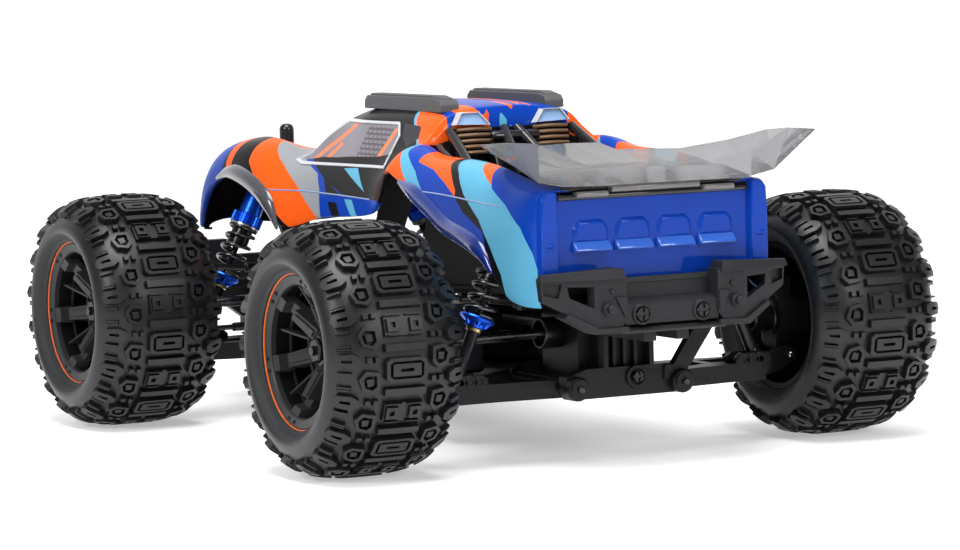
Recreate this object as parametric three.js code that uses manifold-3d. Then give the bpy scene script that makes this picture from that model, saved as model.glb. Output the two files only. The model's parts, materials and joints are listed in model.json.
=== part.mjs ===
// A 1:14 radio-controlled monster truck: chassis, four independent suspension corners, steering,
// drive train and a removable painted body. Millimetres, +X forwards, +Y to the left, +Z up,
// with the origin on the ground under the middle of the truck.
import * as THREE from "three";
import { mergeVertices } from "three/addons/utils/BufferGeometryUtils.js";
import Module from "manifold-3d";

const wasm = await Module();
wasm.setup();

// ---- driving dimensions ----
const AXLE_X = 124; // half the wheelbase
const AXLE_Z = 55;
const WHEEL_Y = 119; // half the track
const TYRE_RADIUS = 55;
const TYRE_WIDTH = 59;
const BEAD_RADIUS = 33.4; // where the tyre grips the wheel
const WHEEL_SIDES = 24;

const ARM_PIVOT = { y: 26, z: 33 }; // inner hinge pin of each lower arm
const ARM_END = { y: 94, z: 38 }; // outer hinge pin, at the hub carrier
const ARM_BOTTOM = 28.5;
const ARM_TOP = 36.5;
const PIN_RADIUS = 1.5;

const SHOCK_X = 136; // the shocks stand outside the axle line
const SHOCK_EYE = { y: 75, z: 38 };
const SHOCK_TOP = { front: { y: 36, z: 116 }, rear: { y: 42, z: 116 } };
const SHOCK_RADIUS = 4.6;
const SPRING_RADIUS = 6.6;
const SPRING_WALL = 1.3;

const LINK_X = 112; // camber links stand inside the axle line
const LINK_INNER = { y: 30, z: 69 };
const LINK_OUTER = { y: 90, z: 75 };

const KINGPIN_Y = 102;
const TIE_X = 104;
const TIE_Z = 44.5;
const TIE_INNER_Y = 35;
const TIE_OUTER_Y = 102; // under the steering arm, right behind the kingpin

const FLOOR_BOTTOM = 27.5;
const FLOOR_TOP = 31;
const GEARBOX_HALF_WIDTH = 17.5;
const GEARBOX_X = [108.5, 141];
const GEARBOX_TOP = 70;
const TOWER_X = [125.2, 128.6]; // both shock towers, measured from the middle of the truck
const BODY_POST = { x: 142, y: 22, top: { front: 137, rear: 127.6 } };

const GEAR_MODULE = 0.8;
const SPUR_TEETH = 46;
const PINION_TEETH = 14;
const GEAR_X = [-44, -38];
const BACKLASH_GAP = 0.25; // added to the gears' centre distance
const MOTOR = { y: -23, radius: 14, rear: -96, front: -48 };

const BODY_WALL = 1.2;
const GAP = 0.3; // between touching pieces

// ---- materials ----
function material(color, roughness, metalness = 0, extra = {}) {
  return new THREE.MeshStandardMaterial({ color, roughness, metalness, ...extra });
}
const MATERIAL = {
  tyre: material(0x1c1d1f, 0.85),
  blackPlastic: material(0x1d1e20, 0.55),
  greyPlastic: material(0x3a3c3e, 0.6),
  steel: material(0xa8aaad, 0.3, 1),
  blueAluminium: material(0x1440c8, 0.28, 0.9),
  blackSteel: material(0x26272a, 0.35, 0.8),
  bluePaint: material(0x1530b4, 0.15),
  smokedClear: material(0x8c8e90, 0.12, 0, { transparent: true, opacity: 0.5 }),
  batteryWrap: material(0x20242c, 0.5),
};

// ---- geometry helpers ----
// A closed three.js geometry as a manifold-3d solid, turned outwards if its faces point in.
function solid(geometry) {
  const bare = geometry.clone();
  for (const name of ["normal", "uv"]) bare.deleteAttribute(name);
  const merged = mergeVertices(bare, 1e-4);
  const index = merged.index.array;
  const kept = [];
  for (let i = 0; i < index.length; i += 3) {
    const [a, b, c] = [index[i], index[i + 1], index[i + 2]];
    if (a !== b && b !== c && a !== c) kept.push(a, b, c);
  }
  const make = (corners) =>
    new wasm.Manifold(
      new wasm.Mesh({
        numProp: 3,
        vertProperties: merged.attributes.position.array,
        triVerts: new Uint32Array(corners),
      }),
    );
  const made = make(kept);
  return made.volume() > 0 ? made : make(kept.reverse());
}

function join(...pieces) {
  return pieces.reduce((sum, piece) => sum.add(piece));
}

function cut(from, ...tools) {
  return tools.reduce((left, tool) => left.subtract(tool), from);
}

function box([x0, x1], [y0, y1], [z0, z1]) {
  const g = new THREE.BoxGeometry(x1 - x0, y1 - y0, z1 - z0);
  return solid(g.translate((x0 + x1) / 2, (y0 + y1) / 2, (z0 + z1) / 2));
}

// A round bar between two points, tapered if a second radius is given.
function bar(from, to, radius, endRadius = radius, sides = 10) {
  const a = new THREE.Vector3(...from);
  const b = new THREE.Vector3(...to);
  const along = b.clone().sub(a);
  const g = new THREE.CylinderGeometry(endRadius, radius, along.length(), sides);
  const turn = new THREE.Quaternion().setFromUnitVectors(new THREE.Vector3(0, 1, 0), along.normalize());
  return solid(g.applyQuaternion(turn).translate(...a.add(b).multiplyScalar(0.5)));
}

const alongX = (x, y, z, radius, sides) => bar([x[0], y, z], [x[1], y, z], radius, radius, sides);
const alongY = (y, x, z, radius, sides) => bar([x, y[0], z], [x, y[1], z], radius, radius, sides);
const alongZ = (z, x, y, radius, sides) => bar([x, y, z[0]], [x, y, z[1]], radius, radius, sides);

// An outline extruded along one axis: in (y, z) for x, in (x, z) for y and in (x, y) for z.
const PLANES = {
  x: [[0, 1, 0], [0, 0, 1], [1, 0, 0]],
  y: [[1, 0, 0], [0, 0, 1], [0, -1, 0]],
  z: [[1, 0, 0], [0, 1, 0], [0, 0, 1]],
};
function plate(axis, [low, high], outline, holes = []) {
  const vectors = (points) => points.map(([a, b]) => new THREE.Vector2(a, b));
  const shape = new THREE.Shape(vectors(outline));
  for (const hole of holes) shape.holes.push(new THREE.Path(vectors(hole)));
  const g = new THREE.ExtrudeGeometry(shape, { depth: high - low, bevelEnabled: false });
  const [across, up, out] = PLANES[axis].map((v) => new THREE.Vector3(...v));
  g.applyMatrix4(new THREE.Matrix4().makeBasis(across, up, out));
  const start = axis === "y" ? -high : low; // the outward direction along y points to -y
  return solid(g.translate(...out.multiplyScalar(start)));
}

// Half an outline with its mirror image, across its first or its second coordinate.
const mirrored = (outline) => [...outline, ...outline.map(([a, b]) => [-a, b]).reverse()];
const mirroredX = (outline) => [...outline, ...outline.map(([x, y]) => [x, -y]).reverse()];

// A closed profile of [radius, y] points, spun about an axis along Y.
function spun(profile, centre, sides = WHEEL_SIDES) {
  const points = [...profile, profile[0]].map(([r, y]) => new THREE.Vector2(r, y));
  return solid(new THREE.LatheGeometry(points, sides).translate(...centre));
}

// A sheet of the given thickness under a grid of points, grid[row][column].
function sheet(grid, thickness) {
  const rows = grid.length;
  const columns = grid[0].length;
  const cells = [];
  for (let r = 0; r < rows - 1; r++)
    for (let c = 0; c < columns - 1; c++) {
      const corner = r * columns + c;
      const across = corner + columns + 1;
      cells.push([corner, corner + columns, across], [corner, across, corner + 1]);
    }
  const outer = new THREE.BufferGeometry().setFromPoints(grid.flat().map((p) => new THREE.Vector3(...p)));
  outer.setIndex(cells.flat());
  outer.computeVertexNormals();
  const { position, normal } = outer.attributes;
  const count = rows * columns;
  const points = [];
  for (const depth of [0, thickness])
    for (let i = 0; i < count; i++)
      points.push(
        new THREE.Vector3().fromBufferAttribute(position, i).addScaledVector(
          new THREE.Vector3().fromBufferAttribute(normal, i), -depth),
      );
  const rim = [
    ...Array.from({ length: columns }, (_, c) => c),
    ...Array.from({ length: rows - 1 }, (_, r) => (r + 2) * columns - 1),
    ...Array.from({ length: columns - 1 }, (_, c) => count - 2 - c),
    ...Array.from({ length: rows - 2 }, (_, r) => (rows - 2 - r) * columns),
  ];
  const faces = [...cells, ...cells.map(([a, b, c]) => [a + count, c + count, b + count])];
  rim.forEach((a, i) => {
    const b = rim[(i + 1) % rim.length];
    faces.push([a, b, b + count], [a, b + count, a + count]);
  });
  return solid(new THREE.BufferGeometry().setFromPoints(points).setIndex(faces.flat()));
}

// ---- assembly ----
const truck = new THREE.Group();
const CORNERS = [
  { name: "front_left", end: "front", across: 1, along: 1, side: "left" },
  { name: "front_right", end: "front", across: -1, along: 1, side: "right" },
  { name: "rear_left", end: "rear", across: 1, along: -1, side: "left" },
  { name: "rear_right", end: "rear", across: -1, along: -1, side: "right" },
];

// Adds one solid, mirrored along x and y if asked for.
function add(name, shape, finish, [along, across] = [1, 1]) {
  const { vertProperties, triVerts, numProp } = shape.scale([along, across, 1]).getMesh();
  const geometry = new THREE.BufferGeometry();
  geometry.setAttribute("position", new THREE.BufferAttribute(new Float32Array(vertProperties), numProp));
  geometry.setIndex(new THREE.BufferAttribute(new Uint32Array(triVerts), 1));
  const mesh = new THREE.Mesh(geometry, finish);
  mesh.name = name;
  truck.add(mesh);
}

// ---- wheels and tyres ----
// The tyre's section is open towards the wheel, as it is over its foam insert.
function tyre() {
  const half = TYRE_WIDTH / 2;
  const profile = [
    [BEAD_RADIUS, -half + 1], [45, -half], [52, -half + 3.5], [TYRE_RADIUS, -half + 11],
    [TYRE_RADIUS, half - 11], [52, half - 3.5], [45, half], [BEAD_RADIUS, half - 1],
    [BEAD_RADIUS, half - 6], [50.5, half - 9], [50.5, -half + 9], [BEAD_RADIUS, -half + 6],
  ];
  return spun(profile, [AXLE_X, WHEEL_Y, AXLE_Z]);
}

const SPOKES = 6;
const SPOKE_TURN = Math.PI / 10; // how far the first spoke stands from the X axis
const RIM_INNER = 30.8;
const HUB_FACE_Y = -10; // inner face of the wheel's hub, from its centre plane
const DISC_Y = [10, 15];
function wheel() {
  const outer = BEAD_RADIUS - GAP;
  const profile = [
    [3, HUB_FACE_Y], [9, HUB_FACE_Y], [10, DISC_Y[0]], [RIM_INNER, DISC_Y[0]], [RIM_INNER, -26],
    [outer, -26], [outer, 27], [RIM_INNER, 27], [RIM_INNER, DISC_Y[1]], [3, DISC_Y[1] + 1],
  ];
  const centre = [AXLE_X, WHEEL_Y, AXLE_Z];
  const windows = Array.from({ length: SPOKES }, (_, i) => {
    const middle = SPOKE_TURN + ((i + 0.5) / SPOKES) * 2 * Math.PI;
    const corner = (radius, offset) => [
      AXLE_X + radius * Math.cos(middle + offset),
      AXLE_Z + radius * Math.sin(middle + offset),
    ];
    const window = [[13, -0.22], [28.5, -0.36], [29.5, 0], [28.5, 0.36], [13, 0.22]];
    return plate("y", [WHEEL_Y + DISC_Y[0] - 1, WHEEL_Y + DISC_Y[1] + 2], window.map((at) => corner(...at)));
  });
  return cut(spun(profile, centre), ...windows);
}

// ---- suspension ----
function lowerArm() {
  const body = plate(
    "z",
    [ARM_BOTTOM, ARM_TOP],
    [[103, 25], [145, 25], [141.3, 58], [141.3, 77], [135, 82], [113, 82], [107, 60]],
    [
      [[112, 36], [136, 36], [130, 52], [113, 52]],
      [[115, 57], [128, 57], [128, 74], [117, 74]],
    ],
  );
  const inner = alongX([102.5, 145.5], ARM_PIVOT.y, ARM_PIVOT.z, 4.5, 12);
  const prongOutline = [
    [78, ARM_BOTTOM], [84, 30.5], [94, 33.8], [97.5, 36], [97.5, 40], [94, 42.2], [84, 39.5], [78, ARM_TOP],
  ];
  const prongs = [[113, 117.5], [130.5, 135]].map((x) => plate("x", x, prongOutline));
  const earOutline = [[62, 33], [80, 33], [80, 39], [78, 41], [64.5, 41], [62, 39]];
  const ears = [[130.6, 133.2], [138.8, 141.3]].map((x) => plate("x", x, earOutline));
  const pocket = box([133.2, 138.8], [61, 82], [33, 50]);
  const bores = [
    alongX([90, 160], ARM_PIVOT.y, ARM_PIVOT.z, PIN_RADIUS + 0.1, 8),
    alongX([90, 160], ARM_END.y, ARM_END.z, PIN_RADIUS + 0.1, 8),
    alongX([129, 143], SHOCK_EYE.y, SHOCK_EYE.z, 1.3, 8),
  ];
  return cut(join(body, inner, ...prongs, ...ears), pocket, ...bores);
}

// A turnbuckle with a ball end at each end, lying in a plane of constant x.
function link(x, from, to) {
  const ends = [from, to].map(({ y, z }) => alongX([x - 2.4, x + 2.4], y, z, 4));
  const bores = [from, to].map(({ y, z }) => alongX([x - 4, x + 4], y, z, 1.8, 8));
  return cut(join(bar([x, from.y, from.z], [x, to.y, to.z], 1.7, 1.7, 8), ...ends), ...bores);
}

function shockFrame(end) {
  const top = new THREE.Vector3(SHOCK_X, SHOCK_TOP[end].y, SHOCK_TOP[end].z);
  const eye = new THREE.Vector3(SHOCK_X, SHOCK_EYE.y, SHOCK_EYE.z);
  const length = top.distanceTo(eye);
  const at = (distance) => top.clone().lerp(eye, distance / length).toArray();
  return { at, length, top, eye };
}

// Distances along a shock from its top eye.
const CAP = [3, 24];
const COLLAR = [24, 29];
const BODY_END = 39.5;
const CUP = [55, 59]; // the rod's spring cup, where the spring ends
const ROD_RADIUS = 1.6;
const ROD_BORE_RADIUS = 2.2;
const ROD_BORE_DEPTH = 24;
function shockBody(end) {
  const { at, top } = shockFrame(end);
  const eyelet = alongX([SHOCK_X - 2.4, SHOCK_X + 2.4], top.y, top.z, 4.2);
  const cylinder = bar(at(CAP[0]), at(BODY_END), SHOCK_RADIUS);
  const cap = bar(at(CAP[0]), at(CAP[1]), 5.4, 5.4);
  const collar = bar(at(COLLAR[0]), at(COLLAR[1]), SPRING_RADIUS, SPRING_RADIUS, 12);
  const bore = bar(at(BODY_END - ROD_BORE_DEPTH), at(BODY_END + 1), ROD_BORE_RADIUS, ROD_BORE_RADIUS, 8);
  return cut(join(eyelet, cap, cylinder, collar), bore, alongX([130, 142], top.y, top.z, 1.9, 8));
}

function shockRod(end) {
  const { at, length, eye } = shockFrame(end);
  const rod = bar(at(BODY_END - 3), at(length - 2), ROD_RADIUS, ROD_RADIUS, 8);
  const cup = bar(at(CUP[0]), at(CUP[1]), SPRING_RADIUS - 0.4, 4.4, 12);
  const eyelet = alongX([SHOCK_X - 2.3, SHOCK_X + 2.3], eye.y, eye.z, 4);
  const sleeve = bar(at(CUP[1] - 1.5), at(length), 2.7, 2.7, 8);
  return cut(join(rod, cup, sleeve, eyelet), alongX([130, 142], eye.y, eye.z, 1.5, 8));
}

// A plain sleeve with the coil's inner and outer size stands for the wound spring.
function spring(end) {
  const { at } = shockFrame(end);
  const [from, to] = [COLLAR[1] + GAP, CUP[0] - GAP];
  const inner = SPRING_RADIUS - SPRING_WALL;
  return cut(
    bar(at(from), at(to), SPRING_RADIUS, SPRING_RADIUS, 12),
    bar(at(from - 1), at(to + 1), inner, inner, 12),
  );
}

const SHAFT_INNER_Y = 24;
const SHAFT_OUTER_Y = 84;
function driveShaft() {
  return join(
    alongY([SHAFT_INNER_Y, SHAFT_OUTER_Y - 1], AXLE_X, AXLE_Z, 2.5, 8),
    solid(new THREE.SphereGeometry(3.6, 8, 6).translate(AXLE_X, SHAFT_INNER_Y, AXLE_Z)),
    solid(new THREE.SphereGeometry(3.6, 8, 6).translate(AXLE_X, SHAFT_OUTER_Y - 1, AXLE_Z)),
  );
}

// ---- hub carriers ----
const lowerLug = () =>
  cut(
    join(alongX([118, 130], ARM_END.y, ARM_END.z, 4.2), box([118.6, 129.4], [90, 97], [38, 46])),
    alongX([110, 138], ARM_END.y, ARM_END.z, PIN_RADIUS + 0.1, 8),
  );
const upperLug = () =>
  cut(
    join(alongX([114.8, 119], LINK_OUTER.y, LINK_OUTER.z, 4), box([114.8, 119], [88, 94], [68, 75])),
    alongX([113, 120], LINK_OUTER.y, LINK_OUTER.z, 1.3, 8),
  );

function rearHub() {
  const housing = alongY([90, 106], AXLE_X, AXLE_Z, 10.5, 16);
  const post = box([115, 130], [91, 98], [43, 72]);
  const bore = alongY([89, 107], AXLE_X, AXLE_Z, 5.2);
  return cut(join(housing, post, lowerLug(), upperLug()), bore);
}

// The steering hub turns inside this C-shaped carrier.
function caster() {
  const back = box([115, 133], [88, 92.5], [43, 75]);
  const arms = [[37.5, 41], [70, 74]].map((z) =>
    plate("z", z, [[118.2, 92], [129.8, 92], [129.8, KINGPIN_Y + 4], [118.2, KINGPIN_Y + 4]]));
  const shaftWindow = alongY([87, 94], AXLE_X, AXLE_Z, 7.2);
  return cut(
    join(back, ...arms, lowerLug(), upperLug()),
    shaftWindow,
    alongZ([33, 76], AXLE_X, KINGPIN_Y, 2, 8),
    alongX([110, 138], ARM_END.y, ARM_END.z, PIN_RADIUS + 0.1, 8),
  );
}

function knuckle() {
  const housing = alongY([98.5, 107], AXLE_X, AXLE_Z, 10, 16);
  const post = alongZ([41.5, 69.6], AXLE_X, KINGPIN_Y, 3.4);
  const steerArm = join(
    box([TIE_X, 120], [99.5, 104.5], [49, 52.5]),
    alongZ([49, 52.5], TIE_X, TIE_OUTER_Y, 3.2),
  );
  return cut(join(housing, post, steerArm), alongY([97, 108], AXLE_X, AXLE_Z, 5.2));
}

function tieRod() {
  const ends = [TIE_INNER_Y, TIE_OUTER_Y].map((y) => alongZ([TIE_Z - 2.4, TIE_Z + 2.4], TIE_X, y, 2.9));
  const rod = alongY([TIE_INNER_Y, TIE_OUTER_Y], TIE_X, TIE_Z, 1.6, 8);
  const bores = [TIE_INNER_Y, TIE_OUTER_Y].map((y) => alongZ([TIE_Z - 4, TIE_Z + 4], TIE_X, y, 1.4, 8));
  return cut(join(rod, ...ends), ...bores);
}

for (const corner of CORNERS) {
  const flip = [corner.along, corner.across];
  const put = (name, shape, finish) => add(`${name}_${corner.name}`, shape, finish, flip);
  put("tyre", tyre(), MATERIAL.tyre);
  put("wheel", wheel(), MATERIAL.blackPlastic);
  put("lower_arm", lowerArm(), MATERIAL.blackPlastic);
  put("camber_link", link(LINK_X, LINK_INNER, LINK_OUTER), MATERIAL.blackSteel);
  put("shock_body", shockBody(corner.end), MATERIAL.blueAluminium);
  put("shock_rod", shockRod(corner.end), MATERIAL.steel);
  put("spring", spring(corner.end), MATERIAL.blackSteel);
  put("drive_shaft", driveShaft(), MATERIAL.steel);
  if (corner.end === "front") {
    add(`caster_${corner.side}`, caster(), MATERIAL.blackPlastic, flip);
    add(`knuckle_${corner.side}`, knuckle(), MATERIAL.blackPlastic, flip);
    add(`tie_rod_${corner.side}`, tieRod(), MATERIAL.blackSteel, flip);
  } else {
    add(`rear_hub_${corner.side}`, rearHub(), MATERIAL.blackPlastic, flip);
  }
}

// ---- chassis ----
const ENDS = [
  { name: "front", along: 1 },
  { name: "rear", along: -1 },
];

function chassis() {
  const outline = [[100, 14], [78, 18], [62, 42], [-62, 42], [-78, 18], [-100, 14]];
  const whole = [...outline, ...outline.map(([x, y]) => [x, -y]).reverse()];
  const floor = plate("z", [FLOOR_BOTTOM, FLOOR_TOP], whole);
  const rails = [1, -1].map((side) =>
    box([-61, 61], side > 0 ? [39.8, 42] : [-42, -39.8], [FLOOR_TOP - 1, 37.5]));
  const ribs = [-30, 0, 30].map((x) => box([x - 1, x + 1], [-41, 41], [FLOOR_TOP - 1, FLOOR_TOP + 0.8]));
  return join(floor, ...rails, ...ribs);
}

// The differential housing, with the blocks that hold the arms' inner hinge pins.
function gearbox() {
  const half = GEARBOX_HALF_WIDTH;
  const bottom = FLOOR_TOP + GAP;
  const housing = plate("x", GEARBOX_X, mirrored([[half, bottom], [half, 62], [12, GEARBOX_TOP]]));
  const holderOutline = mirrored([[28, 28], [31.5, 33], [29.5, 38], [20, 41], [12, 41]]);
  const holders = [[101, 102.2], [145.8, 153]].map((x) => plate("x", x, holderOutline));
  const neck = box([100.6, 153], [-12, 12], [bottom, 40]);
  const pinCaps = [1, -1].map((side) => alongX([152, 158.5], side * ARM_PIVOT.y, ARM_PIVOT.z, 4.4));
  const linkBosses = [1, -1].map((side) =>
    box([114.7, 119], side > 0 ? [10, 33] : [-33, -10], [65, 70]));
  return join(housing, ...holders, neck, ...pinCaps, ...linkBosses);
}

// The upright plate that the shocks hang from, with the two posts that carry the body.
function tower(end) {
  const top = SHOCK_TOP[end];
  const outline = mirrored([
    [20, 70.4], [30, 78], [top.y + 6, top.z - 6], [top.y + 4, top.z + 4], [top.y - 6, top.z + 4],
    [top.y - 12, top.z - 8], [12, top.z - 14],
  ]);
  const window = mirrored([[8, 80], [17, 82], [20, 95], [8, 94]]);
  const face = plate("x", TOWER_X, outline, [window]);
  const studs = [1, -1].map((side) => alongX([TOWER_X[1] - 1, SHOCK_X + 4.5], side * top.y, top.z, 1.5, 8));
  const posts = [1, -1].map((side) =>
    join(
      box([TOWER_X[0], BODY_POST.x], side > 0 ? [18, 26] : [-26, -18], [94, 100]),
      alongZ([94, BODY_POST.top[end]], BODY_POST.x, side * BODY_POST.y, 3, 10),
    ));
  const foot = box([123, TOWER_X[1]], [-12, 12], [GEARBOX_TOP + GAP, 76]);
  return join(face, ...studs, ...posts, foot);
}

const BUMPER_BACK = 184;
function rearBumper() {
  const wing = [[21, 62], [34, 62], [52, 68], [58, 78], [58, 87], [21, 87]];
  const holes = [
    [[48, 79], [54, 79], [53, 73], [46, 71]],
    [[34, 80], [46, 80], [44, 76], [34, 71]],
  ];
  const wings = [1, -1].map((side) => {
    const flip = (points) => points.map(([y, z]) => [side * y, z]);
    return plate("x", [BUMPER_BACK + 6, BUMPER_BACK + 10], flip(wing), holes.map(flip));
  });
  const middle = box([BUMPER_BACK + 6, BUMPER_BACK + 12], [-23, 23], [62, 81]);
  const lip = plate("z", [60, 63], mirroredX([
    [BUMPER_BACK + 14, 28], [BUMPER_BACK + 9, 37], [BUMPER_BACK, 38], [BUMPER_BACK - 2, 12],
  ]));
  const shelves = [1, -1].map((side) =>
    box([BUMPER_BACK, BUMPER_BACK + 14], side > 0 ? [21, 59] : [-59, -21], [83, 87]));
  const struts = [1, -1].map((side) =>
    box([GEARBOX_X[1] + GAP, BUMPER_BACK + 8], side > 0 ? [5, 11] : [-11, -5], [55, 62]));
  const web = box([GEARBOX_X[1] + GAP, 168], [-8, 8], [57, 61]);
  return join(...wings, middle, lip, ...shelves, ...struts, web);
}

function frontBumper() {
  const face = plate("x", [190, 196], mirrored([[26, 40], [42, 52], [50, 66], [50, 80], [34, 80], [30, 72]]));
  const skid = plate("z", [36, 40], mirroredX([[196, 26], [154, 16]]));
  const back = GEARBOX_X[1] + GAP;
  const blade = plate("z", [56, 60], mirroredX([[203, 20], [190, 48], [184, 48], [180, 14], [back, 12]]));
  return join(face, skid, blade);
}

add("chassis_tub", chassis(), MATERIAL.blackPlastic);
for (const { name, along } of ENDS) {
  const turned = [along, along]; // the rear end is the front end turned round
  add(`${name}_gearbox`, gearbox(), MATERIAL.blackPlastic, turned);
  add(`${name}_shock_tower`, tower(name), MATERIAL.blackPlastic, turned);
  add(`${name}_bumper`, name === "front" ? frontBumper() : rearBumper(), MATERIAL.greyPlastic, turned);
}

// ---- drive train ----
// A spur gear with straight-sided teeth, thin enough to run freely with its mate.
function gear(teeth, [x0, x1], y, z, turn, boreRadius) {
  const pitch = (GEAR_MODULE * teeth) / 2;
  const root = pitch - 1.25 * GEAR_MODULE;
  const tip = pitch + 0.9 * GEAR_MODULE;
  const step = (2 * Math.PI) / teeth;
  const outline = [];
  for (let i = 0; i < teeth; i++)
    for (const [radius, share] of [[root, -0.28], [tip, -0.1], [tip, 0.1], [root, 0.28]]) {
      const angle = turn + (i + share) * step;
      outline.push([y + radius * Math.cos(angle), z + radius * Math.sin(angle)]);
    }
  return cut(plate("x", [x0, x1], outline), alongX([x0 - 1, x1 + 1], y, z, boreRadius));
}

const SHAFT_RADIUS = 3;
const centreDistance = (GEAR_MODULE * (SPUR_TEETH + PINION_TEETH)) / 2 + BACKLASH_GAP;
const motorZ = AXLE_Z - Math.sqrt(centreDistance ** 2 - MOTOR.y ** 2);
const towardsMotor = Math.atan2(motorZ - AXLE_Z, MOTOR.y);

add("centre_shaft", alongX([-108.2, 108.2], 0, AXLE_Z, SHAFT_RADIUS), MATERIAL.steel);
add(
  "spur_gear",
  gear(SPUR_TEETH, GEAR_X, 0, AXLE_Z, towardsMotor, SHAFT_RADIUS + GAP),
  MATERIAL.blackPlastic,
);
add(
  "pinion_gear",
  gear(PINION_TEETH, [GEAR_X[0] - 1, GEAR_X[1] + 1], MOTOR.y, motorZ,
    towardsMotor + Math.PI + Math.PI / PINION_TEETH, 1.6 + GAP),
  MATERIAL.steel,
);

function motor() {
  const can = alongX([MOTOR.rear, MOTOR.front], MOTOR.y, motorZ, MOTOR.radius, 20);
  const nose = alongX([MOTOR.front - 1, MOTOR.front + 2], MOTOR.y, motorZ, 5);
  const shaft = alongX([MOTOR.front, GEAR_X[1] + 2], MOTOR.y, motorZ, 1.6, 8);
  return join(can, nose, shaft);
}
add("motor", motor(), MATERIAL.blueAluminium);
const TRAY_TOP = FLOOR_TOP + 1.2; // top of the ribs that the battery and the speed controller lie on
add("battery", box([-60, 46], [20.8, 39.4], [TRAY_TOP, 64]), MATERIAL.batteryWrap);
add("speed_controller", box([-22, 34], [-39, -12], [TRAY_TOP, 50]), MATERIAL.blackPlastic);

// ---- steering ----
const HORN = { x: 84, y: -12, reach: 15 };
function servo() {
  const housing = box([62, 93], [-23, -4], [FLOOR_TOP + GAP, 40.5]);
  const flange = box([58, 97], [-23, -4], [36, 38]);
  return join(housing, flange, alongZ([40, 42.6], HORN.x, HORN.y, 3));
}
function servoHorn() {
  const hub = alongZ([43.4, 47.6], HORN.x, HORN.y, 5);
  const tip = HORN.x + HORN.reach + 2;
  const arm = plate("z", [43.4, 47.6], [
    [HORN.x, HORN.y - 4], [HORN.x, HORN.y + 4], [tip, HORN.y + 2.4], [tip, HORN.y - 2.4],
  ]);
  return join(hub, arm);
}
add("servo", servo(), MATERIAL.blackPlastic);
add("servo_horn", servoHorn(), MATERIAL.blackPlastic);
add("steering_link", box([98.5, 106.5], [-39, 39], [48.3, 51.2]), MATERIAL.blackPlastic);

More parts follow.
